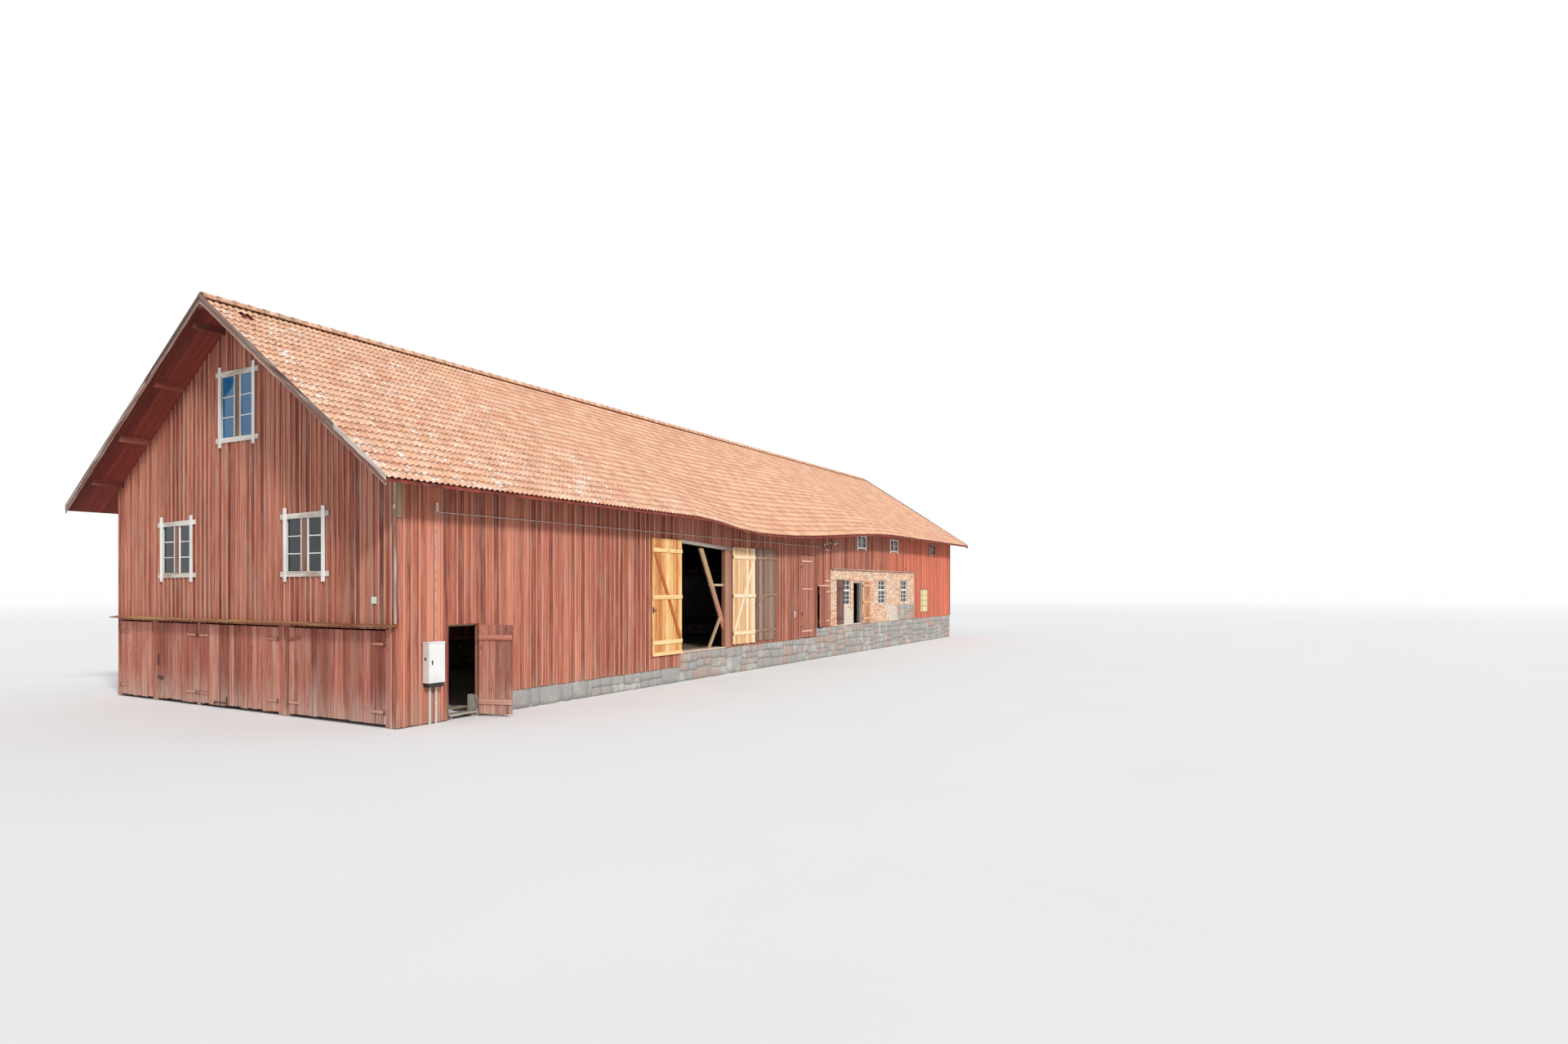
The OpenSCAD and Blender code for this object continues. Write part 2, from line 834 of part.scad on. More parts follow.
module stable_drip_board() {
    color("peru")
        block(brick_x, -front_y - drip_out, brick_top,
              brick_len, drip_out, drip_t);
}

module roof_boards_front() {
    color("maroon")
        roof_layer(-1, roof_lines, tile_t, board_t);
}

module roof_boards_back() {
    color("maroon")
        roof_layer(1, roof_lines, tile_t, board_t);
}

module roof_tiles_front() {
    color("darksalmon")
        roof_layer(-1, roof_lines, 0, tile_t);
}

module roof_tiles_back() {
    color("darksalmon")
        roof_layer(1, roof_lines, 0, tile_t);
}

// Half-round ridge tiles, as one arched cap over both roof slopes
module ridge_tiles() {
    half = ridge_tile_w / 2;
    foot = roof_z(wall_len, half) + seat;
    rise = ridge_z + ridge_tile_rise - foot;
    arch_n = 12;
    color("salmon")
        cross_slab(roof_x0, roof_x1 - roof_x0, concat(
            [for (i = [0:arch_n])
                [half * cos(180 * i / arch_n),
                 foot + rise * sin(180 * i / arch_n)]],
            [[0, ridge_z + seat]]
        ));
}

module purlin_set(side) {
    for (m = purlin_mid)
        roof_layer(side, [m - purlin_w / 2, m + purlin_w / 2],
                   tile_t + board_t + seat, purlin_h);
}

module purlins_front() {
    color("firebrick")
        purlin_set(-1);
}

module purlins_back() {
    color("firebrick")
        purlin_set(1);
}

module ridge_beam() {
    half = purlin_w / 2;
    side_z = min([for (x = stations) under_z(x, half)]) - seat;
    color("firebrick")
        cross_slab(roof_x0, roof_x1 - roof_x0, [
            [-half, ridge_beam_z], [half, ridge_beam_z], [half, side_z],
            [0, ridge_z - tile_t - board_t - seat], [-half, side_z]
        ]);
}

// Roof frames: tie beam, principal rafters and posts under the purlins
module roof_frames() {
    color("peru")
        for (k = [1:frame_n])
            roof_frame(k * wall_len / (frame_n + 1) - frame_t / 2);
}

function rafter_z(x, y) =
    min(under_z(x, y), under_z(x + frame_t, y)) - purlin_h - 2 * seat;

module roof_frame(x) {
    tie_top = rafter_z(x, inner_y) - frame_d + frame_heel;
    slope = (rafter_z(x, 0) - rafter_z(x, inner_y)) / inner_y;
    foot_y = inner_y - frame_heel / slope;
    difference() {
        cross_slab(x, frame_t, [
            [-inner_y, tie_top - frame_d], [inner_y, tie_top - frame_d],
            [inner_y, rafter_z(x, inner_y)], [0, rafter_z(x, 0)],
            [-inner_y, rafter_z(x, inner_y)]
        ]);
        difference() {
            cross_slab(x - over, frame_t + 2 * over, [
                [-foot_y, tie_top], [foot_y, tie_top],
                [0, rafter_z(x, 0) - frame_d]
            ]);
            for (y = [-purlin_3, -purlin_2, 0, purlin_2, purlin_3])
                block(x, y - frame_post_w / 2, 0,
                      frame_t, frame_post_w, ridge_z);
        }
    }
}

// Two bargeboards of a verge, by the near face of the boards
module bargeboards(x, at) {
    joint = 1;
    color("rosybrown")
        for (side = [-1, 1])
            cross_slab(x, barge_t, [
                for (p = [[joint, 0], [eave_y, 0], [eave_y, 1], [joint, 1]])
                    [side * p[0], roof_z(at, p[0]) + barge_up - p[1] * barge_h]
            ]);
}

module bargeboards_near() {
    bargeboards(roof_x0 - barge_t, roof_x0);
}

module bargeboards_far() {
    bargeboards(roof_x1, roof_x1);
}

module loft_floor() {
    color("burlywood")
        block(wall_t, -inner_y, loft_z - loft_t,
              main_x - wall_t, 2 * inner_y, loft_t);
}

module threshing_floor() {
    color("burlywood")
        block(main_x, -stone_in, thresh_z - floor_t,
              bay_post_x - main_x, 2 * stone_in, floor_t);
}

module stable_floor() {
    start = bay_post_x + cross_t;
    color("burlywood")
        block(start, -stone_in, stable_z - floor_t,
              far_stone_x - start, 2 * stone_in, floor_t);
}

module hay_loft_floor() {
    half = front_y - brick_t;
    color("burlywood")
        block(brick_x, -half, hay_z - floor_t,
              wall_len - wall_t - brick_x, 2 * half, floor_t);
}

// A framed window in its hole: its middle is at x = 0 and its lower edge at
// z = 0, and it lies behind the wall's outer face at y = 0
module window_frame(w, h, mullion) {
    difference() {
        translate([-w / 2, 0, 0])
            cube([w, sash_t, h]);
        for (side = mullion > 0 ? [-1, 1] : [0])
            translate([pane_mid(w, mullion, side), sash_t / 2, h / 2])
                cube([pane_w(w, mullion), sash_t + 2 * over, h - 2 * sash_w],
                     center = true);
    }
}

function pane_w(w, mullion) =
    mullion > 0 ? (w - mullion) / 2 - sash_w : w - 2 * sash_w;
function pane_mid(w, mullion, side) =
    side * (mullion + pane_w(w, mullion)) / 2;

module window_panes(w, h, mullion) {
    for (side = mullion > 0 ? [-1, 1] : [0])
        translate([pane_mid(w, mullion, side), sash_t / 2, h / 2])
            cube([pane_w(w, mullion) - 2 * seat, glass_t,
                  h - 2 * sash_w - 2 * seat], center = true);
}

// White trim boards round a window, which run past their crossings
module window_trim(w, h, board, ear) {
    for (side = [-1, 1])
        translate([side * w / 2 - board / 2, -trim_t, -ear])
            cube([board, trim_t, h + 2 * ear]);
    for (z = [0, h])
        translate([-w / 2 - ear, -trim_t, z - board / 2])
            cube([w + 2 * ear, trim_t, board]);
}

module gable_window_frames() {
    color("white")
        for (w = gable_windows)
            at_gable(w[0])
                translate([0, 0, w[1]]) {
                    window_frame(gwin_w, w[2], mullion_w);
                    window_trim(gwin_w, w[2], trim_w, trim_ear);
                }
}

module front_window_frames() {
    color("white") {
        for (w = stable_windows)
            at_front(w[0])
                translate([0, swin_in, swin_z])
                    window_frame(w[1], swin_h, 0);
        for (x = front_lofts)
            at_front(x)
                translate([0, 0, lwin_z]) {
                    window_frame(lwin_w, lwin_h, 0);
                    window_trim(lwin_w, lwin_h, loft_trim_w, 0);
                }
        at_front(fwin_x)
            translate([0, 0, fwin_z])
                window_frame(fwin_w, fwin_h, sash_w);
    }
}

module rear_window_frames() {
    color("white") {
        for (w = gable_windows)
            at_far_gable(w[0])
                translate([0, 0, w[1]]) {
                    window_frame(gwin_w, w[2], mullion_w);
                    window_trim(gwin_w, w[2], trim_w, trim_ear);
                }
        for (w = back_stables)
            at_back(w[0])
                translate([0, swin_in, swin_z])
                    window_frame(w[1], swin_h, 0);
        for (x = back_lofts)
            at_back(x)
                translate([0, 0, lwin_z]) {
                    window_frame(lwin_w, lwin_h, 0);
                    window_trim(lwin_w, lwin_h, loft_trim_w, 0);
                }
    }
}

module window_glass() {
    color("lightblue") {
        for (w = gable_windows) {
            at_gable(w[0])
                translate([0, 0, w[1]])
                    window_panes(gwin_w, w[2], mullion_w);
            at_far_gable(w[0])
                translate([0, 0, w[1]])
                    window_panes(gwin_w, w[2], mullion_w);
        }
        for (w = stable_windows)
            at_front(w[0])
                translate([0, swin_in, swin_z])
                    window_panes(w[1], swin_h, 0);
        for (w = back_stables)
            at_back(w[0])
                translate([0, swin_in, swin_z])
                    window_panes(w[1], swin_h, 0);
        for (x = front_lofts)
            at_front(x)
                translate([0, 0, lwin_z])
                    window_panes(lwin_w, lwin_h, 0);
        for (x = back_lofts)
            at_back(x)
                translate([0, 0, lwin_z])
                    window_panes(lwin_w, lwin_h, 0);
        at_front(fwin_x)
            translate([0, 0, fwin_z])
                window_panes(fwin_w, fwin_h, sash_w);
    }
}

// White electric cabinet on the corner, with two pipes down to the ground
module meter_cabinet() {
    color("white")
        block(cabinet_at, -front_y - cabinet_d, cabinet_z,
              cabinet_w, cabinet_d, cabinet_h);
    color("gainsboro")
        for (x = [cabinet_at + cabinet_w / 3, cabinet_at + 2 * cabinet_w / 3])
            at_front(x)
                translate([0, -pipe_r, 0])
                    cylinder(r = pipe_r, h = cabinet_z, $fn = 24);
}

// Taut cable under the eave, with a riser from the cabinet and brackets
module wall_cable() {
    color("silver") {
        for (x = [riser_x, cable_end_x])
            block(x - cable_r, -front_y - cable_out - cable_r,
                  cable_z - 2 * cable_r, 2 * cable_r,
                  cable_out + cable_r, 4 * cable_r);
        at_front(riser_x)
            translate([0, -cable_r, cabinet_z + cabinet_h])
                cylinder(r = cable_r, h = cable_z - cabinet_z - cabinet_h,
                         $fn = 16);
        at_front(riser_x)
            translate([0, -cable_out, cable_z])
                rotate([0, 90, 0])
                    cylinder(r = cable_r, h = cable_end_x - riser_x, $fn = 16);
    }
}

// Hinge pins of the leaves that fold back onto the wall, on wall brackets
module fold_pins(h) {
    for (f = fold_hinges) {
        z = h * f - knuckle_h / 2;
        translate([-pin_r - pin_lip, -fold_axis - pin_r, z - pin_shelf - seat])
            cube([2 * (pin_r + pin_lip), fold_axis + pin_r, pin_shelf]);
        translate([0, -fold_axis, z - pin_shelf])
            cylinder(r = pin_r, h = knuckle_h + pin_shelf, $fn = 24);
    }
}

// Hinge pins of the leaves that stand in their doorway, on the post beside
module inset_pins(h) {
    for (f = inset_hinges) {
        z = h * f - knuckle_h / 2;
        translate([-3 * pin_r, -inset_axis - pin_r, z - pin_shelf - seat])
            cube([4 * pin_r, inset_axis + pin_r, pin_shelf]);
        translate([0, -inset_axis, z - pin_shelf])
            cylinder(r = pin_r, h = knuckle_h + pin_shelf, $fn = 24);
    }
}

// A leaf that is folded back onto the wall at rest, inner side out. Its
// hinge axis is at x = 0 and it runs along +x.
module fold_leaf(w, h) {
    ledges = [for (f = fold_hinges) h * f - ledger_h / 2];
    difference() {
        union() {
            translate([fold_edge, -fold_gap - leaf_t, 0])
                cube([w - fold_edge, leaf_t, h]);
            for (z = ledges)
                translate([fold_edge, -fold_gap - leaf_t - ledger_t, z])
                    cube([w - fold_edge, ledger_t, ledger_h]);
            leaf_brace(w, ledges[0] + ledger_h / 2,
                       ledges[len(ledges) - 1] + ledger_h / 2);
            for (f = fold_hinges)
                translate([0, -fold_axis, h * f - knuckle_h / 2]) {
                    cylinder(r = knuckle_r, h = knuckle_h, $fn = 32);
                    translate([0, -lug_t / 2, 0])
                        cube([fold_edge + knuckle_r, lug_t, knuckle_h]);
                }
        }
        for (f = fold_hinges)
            translate([0, -fold_axis, h * f - knuckle_h / 2 - over])
                cylinder(r = pin_r + pin_gap, h = knuckle_h + 2 * over,
                         $fn = 24);
    }
}

// Diagonal brace from the lowest ledge at the hinges to the top ledge
module leaf_brace(w, z0, z1) {
    x0 = fold_edge + ledger_h / 2;
    x1 = w - ledger_h / 2;
    angle = atan2(z1 - z0, x1 - x0);
    reach = norm([x1 - x0, z1 - z0]);
    translate([x0, -fold_gap - leaf_t - ledger_t, z0])
        rotate([0, -angle, 0])
            translate([0, 0, -ledger_h / 2])
                cube([reach, ledger_t, ledger_h]);
}

// A leaf that stands in its doorway, flush with the wall. Its hinge axis is
// at x = 0 outside the wall's face, and it runs along +x.
module inset_leaf(w, h) {
    difference() {
        union() {
            translate([inset_edge, 0, 0])
                cube([w - inset_edge, leaf_t, h]);
            for (f = inset_hinges) {
                translate([inset_edge, leaf_t, h * f - ledger_h / 2])
                    cube([w - inset_edge - leaf_gap, ledger_t, ledger_h]);
                translate([inset_edge, -strap_t, h * f - knuckle_h / 2])
                    cube([strap_len, strap_t, knuckle_h]);
                translate([0, -inset_axis, h * f - knuckle_h / 2]) {
                    cylinder(r = knuckle_r, h = knuckle_h, $fn = 32);
                    translate([leaf_gap / 2, 0, 0])
                        cube([inset_edge, inset_axis, knuckle_h]);
                }
            }
        }
        for (f = inset_hinges)
            translate([0, -inset_axis, h * f - knuckle_h / 2 - over])
                cylinder(r = pin_r + pin_gap, h = knuckle_h + 2 * over,
                         $fn = 24);
    }
}

// Turns children about an inset hinge's axis
module swing(angle) {
    translate([0, -inset_axis, 0])
        rotate([0, 0, -angle])
            translate([0, inset_axis, 0])
                children();
}

// A cart bay leaf by its hinge's place from the near corner. It runs towards
// the back corner when away is true, or else towards the near corner.
module cart_leaf(hinge, away, w) {
    color("brown")
        at_gable(hinge)
            translate([0, 0, gable_door_z])
                flip(away)
                    inset_leaf(w, cart_leaf_h);
}

module cart_door_a() {
    cart_leaf(end_post_at, false, end_post_at - bay_4_at - leaf_gap);
}

module cart_door_b() {
    cart_leaf(bay_3_at, true, bay_3_w - leaf_gap);
}

module cart_door_c() {
    cart_leaf(post_23_at, false, bay_2_w - door_d_w - leaf_gap);
}

module cart_door_d() {
    cart_leaf(bay_2_at, true, door_d_w - leaf_gap);
}

module cart_door_e() {
    cart_leaf(post_12_at, false, bay_1_w / 2 - leaf_gap);
}

module cart_door_f() {
    cart_leaf(bay_1_at, true, bay_1_w / 2 - leaf_gap);
}

module main_door_left() {
    color("goldenrod")
        at_front(main_x)
            translate([0, 0, main_leaf_z])
                flip(true)
                    fold_leaf(main_leaf_w, main_leaf_h);
}

module main_door_right() {
    color("goldenrod")
        at_front(middle_x)
            translate([0, 0, right_leaf_z])
                fold_leaf(main_leaf_w, right_leaf_h);
}

module grey_door() {
    color("slategray")
        at_front(grey_x)
            translate([0, 0, grey_leaf_z])
                flip(true)
                    fold_leaf(grey_leaf_w, grey_leaf_h);
}

module red_door() {
    color("brown")
        at_front(red_x)
            translate([0, 0, red_leaf_z])
                inset_leaf(red_door_w - leaf_gap, red_leaf_h);
}

module bay_door() {
    color("brown")
        at_front(bay_jamb_x)
            translate([0, 0, bay_leaf_z])
                flip(true)
                    swing(bay_door_ajar)
                        inset_leaf(bay_door_w - leaf_gap, bay_leaf_h);
}

module stable_door() {
    color("saddlebrown")
        at_front(stable_door_x + stable_door_w)
            translate([0, 0, stable_leaf_z])
                fold_leaf(stable_door_w, stable_leaf_h);
}

module low_door() {
    color("brown")
        at_front(left_x)
            translate([0, 0, low_leaf_z])
                flip(true)
                    swing(low_door_open)
                        inset_leaf(low_door_w - leaf_gap, low_leaf_h);
}

module door_hinges() {
    color("black") {
        for (w = [bay_1_at, post_12_at, bay_2_at, post_23_at, bay_3_at,
                  end_post_at])
            at_gable(w)
                translate([0, 0, gable_door_z])
                    flip(w == bay_1_at || w == bay_2_at || w == bay_3_at)
                        inset_pins(cart_leaf_h);
        at_front(main_x)
            translate([0, 0, main_leaf_z])
                fold_pins(main_leaf_h);
        at_front(middle_x)
            translate([0, 0, right_leaf_z])
                fold_pins(right_leaf_h);
        at_front(grey_x)
            translate([0, 0, grey_leaf_z])
                fold_pins(grey_leaf_h);
        at_front(red_x)
            translate([0, 0, red_leaf_z])
                inset_pins(red_leaf_h);
        at_front(bay_jamb_x)
            translate([0, 0, bay_leaf_z])
                flip(true)
                    inset_pins(bay_leaf_h);
        at_front(stable_door_x + stable_door_w)
            translate([0, 0, stable_leaf_z])
                fold_pins(stable_leaf_h);
        at_front(left_x)
            translate([0, 0, low_leaf_z])
                flip(true)
                    inset_pins(low_leaf_h);
    }
}

stone_foundation_front();
stone_foundation_back();
stone_foundation_far();
stone_cross_wall();
stone_step_wall();
front_wall_corner();
front_wall_left();
front_wall_middle();
walls_over_doorways();
door_posts();
doorway_lintel();
doorway_braces();
brick_wall_front();
front_wall_hay_loft();
front_wall_far();
brick_wall_back();
back_wall();
gable_wall_near();
gable_posts();
gable_drip_board();
gable_wall_far();
roof_boards_front();
roof_boards_back();
roof_tiles_front();
roof_tiles_back();
ridge_tiles();
purlins_front();
purlins_back();
ridge_beam();
roof_frames();
bargeboards_near();
bargeboards_far();
loft_floor();
threshing_floor();
stable_floor();
hay_loft_floor();
gable_window_frames();
front_window_frames();
rear_window_frames();
window_glass();
stable_drip_board();
meter_cabinet();
wall_cable();
door_hinges();
cart_door_a();
cart_door_b();
cart_door_c();
cart_door_d();
cart_door_e();
cart_door_f();
main_door_left();
main_door_right();
grey_door();
red_door();
bay_door();
stable_door();
low_door();
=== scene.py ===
import math
import random

import bmesh
import bpy
import numpy as np
from mathutils import Matrix, Vector


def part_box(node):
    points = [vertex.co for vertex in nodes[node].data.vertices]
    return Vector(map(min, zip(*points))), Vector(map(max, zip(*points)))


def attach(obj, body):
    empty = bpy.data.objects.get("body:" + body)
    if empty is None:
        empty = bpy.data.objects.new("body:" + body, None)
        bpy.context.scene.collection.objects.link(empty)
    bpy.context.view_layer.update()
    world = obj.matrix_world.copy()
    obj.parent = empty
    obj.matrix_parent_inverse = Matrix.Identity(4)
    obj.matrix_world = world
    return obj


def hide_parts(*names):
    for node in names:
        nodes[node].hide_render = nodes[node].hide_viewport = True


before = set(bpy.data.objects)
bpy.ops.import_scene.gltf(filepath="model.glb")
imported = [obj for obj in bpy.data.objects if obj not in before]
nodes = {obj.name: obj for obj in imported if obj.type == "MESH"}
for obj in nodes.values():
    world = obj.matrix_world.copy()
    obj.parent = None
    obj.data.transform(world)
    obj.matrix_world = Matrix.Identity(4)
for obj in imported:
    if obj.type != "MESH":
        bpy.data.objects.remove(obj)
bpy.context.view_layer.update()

scene = bpy.context.scene
scene.view_settings.view_transform = "Standard"

# Camera, light and ground.
# The barn is seen from the near corner at eye height, with the camera level. One soft sun stands
# where the real one stood, under a pale sky.

EYE, HEADING = Vector((-30.76, -21.68, 3.03)), Vector((0.877, 0.480, 0.0))
FOCAL_PIXELS, HORIZON_ROW = 1036, 718
PICTURE_W, PICTURE_H = 1920, 1278
SENSOR, FAR_CLIP = 36.0, 500
SUNWARD, SUN_POWER, SUN_WIDTH = Vector((-0.9, -2.2, 1.7)), 2.5, 8
GROUND_REACH, GROUND_FADE, SKY_LIGHT = 400, (30.0, 200.0), 0.55


def add_object(name, data, line=None, axis="Z"):
    """Puts an object in the scene, with one axis along a line if one is given."""
    made = bpy.data.objects.new(name, data)
    scene.collection.objects.link(made)
    if line is not None:
        made.rotation_mode = "QUATERNION"
        made.rotation_quaternion = line.to_track_quat(axis, "Y")
    return made


camera_data = bpy.data.cameras.new("camera")
camera_data.sensor_width = SENSOR
camera_data.lens = SENSOR * FOCAL_PIXELS / PICTURE_W
camera_data.shift_y = (HORIZON_ROW - PICTURE_H / 2) / PICTURE_W
camera_data.clip_end = FAR_CLIP
scene.camera = add_object("camera", camera_data, HEADING, "-Z")
scene.camera.location = EYE
sun_data = bpy.data.lights.new("sun", "SUN")
sun_data.energy = SUN_POWER
sun_data.angle = math.radians(SUN_WIDTH)
add_object("sun", sun_data, SUNWARD)


class Socket:
    """An output in a node tree that can be reckoned with like a number."""

    def __init__(self, tree, output=None):
        self.tree, self.output = tree, output

    def node(self, kind, inputs=None, output=0, stops=(), **settings):
        """Adds a node: settings first, then ramp stops, then its inputs."""
        made = self.tree.nodes.new(kind)
        for name, value in settings.items():
            setattr(made, name, value)
        for k, (place, colour) in enumerate(stops):
            ramp = made.color_ramp.elements
            stop = ramp[k] if k < len(ramp) else ramp.new(place)
            stop.position = place
            stop.color = (*colour, 1)
        for name, value in (inputs or {}).items():
            if isinstance(value, Socket):
                self.tree.links.new(value.output, made.inputs[name])
            else:
                made.inputs[name].default_value = value
        return Socket(self.tree, made.outputs[output])

    def end(self, kind):
        """Ends the tree in a node of this kind."""
        self.tree.links.new(self.output, self.tree.nodes.new(kind).inputs[0])

    def math(self, operation, *values):
        return self.node("ShaderNodeMath", dict(enumerate(values)), operation=operation)

    def __add__(self, other):
        return self.math("ADD", self, other)

    def __sub__(self, other):
        return self.math("SUBTRACT", self, other)

    def __rsub__(self, other):
        return self.math("SUBTRACT", other, self)

    def __mul__(self, other):
        return self.math("MULTIPLY", self, other)

    __radd__, __rmul__ = __add__, __mul__

    def step(self, low, high):
        """0 below low, 1 above high and smooth between."""
        return self.node("ShaderNodeMapRange", {"Value": self, "From Min": low, "From Max": high},
                         interpolation_type="SMOOTHSTEP")

    def axis(self, name):
        return self.node("ShaderNodeSeparateXYZ", {0: self}, output=name)

    def stretch(self, *shares):
        return self.node("ShaderNodeVectorMath", {0: self, 1: shares}, operation="MULTIPLY")

    def noise(self, scale, detail=3.0, rough=0.55):
        """Noise over this vector."""
        return self.node("ShaderNodeTexNoise", {
            "Vector": self, "Scale": scale, "Detail": detail, "Roughness": rough})

    def mix(self, first, second):
        """Blends two colours with this socket as the share of the second."""
        first, second = ((*c, 1) if isinstance(c, tuple) else c for c in (first, second))
        return self.node("ShaderNodeMix", {0: self, 6: first, 7: second}, output=2, data_type="RGBA")


def new_material(name):
    """An empty material, a socket to start its sums from and the place in the object."""
    made = bpy.data.materials.new(name)
    made.use_nodes = True
    made.node_tree.nodes.clear()
    start = Socket(made.node_tree)
    return made, start, start.node("ShaderNodeTexCoord", output="Object")


def coat(start, colour, roughness, height=None, bump=0.5, depth=0.003, **fixed):
    """Ends a material in one shader. fixed values go on its own sockets."""
    inputs = {"Base Color": colour, "Roughness": roughness}
    inputs.update((name.replace("_", " "), value) for name, value in fixed.items())
    if height is not None:
        inputs["Normal"] = start.node("ShaderNodeBump", {
            "Height": height, "Strength": bump, "Distance": depth})
    start.node("ShaderNodeBsdfPrincipled", inputs).end("ShaderNodeOutputMaterial")


ground_material, s, here = new_material("pale_ground")
far_off = s.node("ShaderNodeVectorMath", {0: here}, output="Value", operation="LENGTH").step(*GROUND_FADE)
near_grey = here.noise(0.35, 4.0).mix((0.80, 0.80, 0.79), (0.84, 0.84, 0.83))
coat(s, far_off.mix(near_grey, (0.97, 0.97, 0.97)), 0.9)
ground_mesh = bpy.data.meshes.new("ground")
ground_mesh.from_pydata([(x * GROUND_REACH, y * GROUND_REACH, 0)
                         for x, y in ((-1, -1), (1, -1), (1, 1), (-1, 1))], [], [(0, 1, 2, 3)])
ground_mesh.materials.append(ground_material)
add_object("ground", ground_mesh)

scene.world = bpy.data.worlds.new("sky")
scene.world.use_nodes = True
scene.world.node_tree.nodes.clear()
w = Socket(scene.world.node_tree)
seen = w.node("ShaderNodeLightPath", output="Is Camera Ray")
for other_ray in ("Is Glossy Ray", "Is Transmission Ray"):
    seen = w.math("MAXIMUM", seen, w.node("ShaderNodeLightPath", output=other_ray))
sky_blue = (SKY_LIGHT * 0.97, SKY_LIGHT, SKY_LIGHT * 1.04)
w.node("ShaderNodeBackground", {"Color": seen.mix(sky_blue, (1.0, 1.0, 1.0))}).end("ShaderNodeOutputWorld")

# Rubble foundation.
# Field stones in lime mortar carry the walls and step up with the doorsills. Each stone is a
# rounded block, roughened by noise and sunk in a mortar bed.

MORTAR_DEPTH, STONE_DEPTH, STONE_LAP = 0.035, (0.16, 0.20), 1.02
COURSE_H, COURSE_SHARE, STONE_SHAPE = (0.2, 0.4), (0.7, 1.4), (0.9, 2.0)
STRETCH_LEN, SHORT_STRETCH, SHORT_STONE, BALL_R = (0.7, 1.5), 0.5, 0.12, 0.62
LEFT_X, BACK_LEFT_X, MAIN_X, BAY_POST_X, END_X = -16.79, -17.65, -8.75, 0.93, 19.0
SILL_Z, THRESH_Z, STABLE_Z = 0.48, 0.92, 1.30


def mesh_of(form):
    """The mesh of a bmesh, which is freed."""
    mesh = bpy.data.meshes.new("mesh")
    form.to_mesh(mesh)
    form.free()
    return mesh


def outward(mesh):
    """Turns a mesh's faces outwards."""
    form = bmesh.new()
    form.from_mesh(mesh)
    bmesh.ops.recalc_face_normals(form, faces=form.faces)
    form.to_mesh(mesh)
    form.free()
    return mesh


def add_box(form, low, high):
    low, high = Vector(low), Vector(high)
    spot = Matrix.Translation((low + high) / 2) @ Matrix.Diagonal((*(high - low), 1))
    bmesh.ops.create_cube(form, size=1.0, matrix=spot)


def place_piece(name, mesh, replaced="", body="barn"):
    """Makes a piece of a mesh. replaced names the nodes that it stands for."""
    mesh.name = name
    piece = add_object(name, mesh)
    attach(piece, body)
    if replaced:
        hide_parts(*replaced.split())


def lay_blocks(name, rows, block, material, uneven=0.0, waves=1.0):
    """Sets a block on each row of place, size, turn and tone, and roughens all by noise."""
    block.materials.clear()
    block.materials.append(material)
    shape = add_object("block", block)
    spots = bpy.data.meshes.new("spots")
    spots.from_pydata([row[0] for row in rows], [], [])
    for label, kind, field, column in (("size", "FLOAT_VECTOR", "vector", 1),
                                       ("turn", "FLOAT_VECTOR", "vector", 2), ("tone", "FLOAT", "value", 3)):
        values = np.array([row[column] for row in rows], float).ravel()
        spots.attributes.new(label, kind, "POINT").data.foreach_set(field, values)
    tree = bpy.data.node_groups.new(name, "GeometryNodeTree")
    for side in ("OUTPUT", "INPUT"):
        tree.interface.new_socket("Geometry", in_out=side, socket_type="NodeSocketGeometry")
    sizes = {tree.interface.new_socket(label, in_out="INPUT", socket_type="NodeSocketFloat").identifier: value
             for label, value in (("Unevenness", uneven), ("Waviness", waves))}
    t = Socket(tree)
    points, unevenness, waviness = (
        t.node("NodeGroupInput", output=label) for label in ("Geometry", "Unevenness", "Waviness"))
    blocks = t.node("GeometryNodeObjectInfo", {"Object": shape}, output="Geometry")
    size, turn = (t.node("GeometryNodeInputNamedAttribute", {"Name": label}, output="Attribute",
                         data_type="FLOAT_VECTOR") for label in ("size", "turn"))
    laid = t.node("GeometryNodeInstanceOnPoints", {
        "Points": points, "Instance": blocks, "Rotation": turn, "Scale": size})
    real = t.node("GeometryNodeRealizeInstances", {0: laid})
    lumps = t.node("ShaderNodeTexNoise", {
        "Vector": t.node("GeometryNodeInputPosition"), "Scale": waviness, "Detail": 2.0}, output="Color")
    centred = t.node("ShaderNodeVectorMath", {0: lumps, 1: (0.5, 0.5, 0.5)}, operation="SUBTRACT")
    shift = t.node("ShaderNodeVectorMath", {0: centred, "Scale": unevenness}, operation="SCALE")
    rough = t.node("GeometryNodeSetPosition", {"Geometry": real, "Offset": shift})
    done = t.node("GeometryNodeRealizeInstances", {0: rough})
    t.node("GeometryNodeSetMaterial", {"Geometry": done, "Material": material}).end("NodeGroupOutput")
    holder = add_object("holder", spots)
    modifier = holder.modifiers.new("nodes", "NODES")
    modifier.node_group = tree
    for identifier, value in sizes.items():
        modifier[identifier] = value
    graph = bpy.context.evaluated_depsgraph_get()
    mesh = bpy.data.meshes.new_from_object(holder.evaluated_get(graph), depsgraph=graph)
    for helper in (holder, shape):
        bpy.data.objects.remove(helper)
    return mesh


def round_block(cuts, roundness):
    """A unit block with its corners rounded off towards a ball."""
    form = bmesh.new()
    bmesh.ops.create_cube(form, size=1.0)
    bmesh.ops.subdivide_edges(form, edges=form.edges, cuts=cuts, use_grid_fill=True)
    for vert in form.verts:
        vert.co = vert.co.lerp(vert.co.normalized() * BALL_R, roundness)
    for face in form.faces:
        face.smooth = True
    return mesh_of(form)


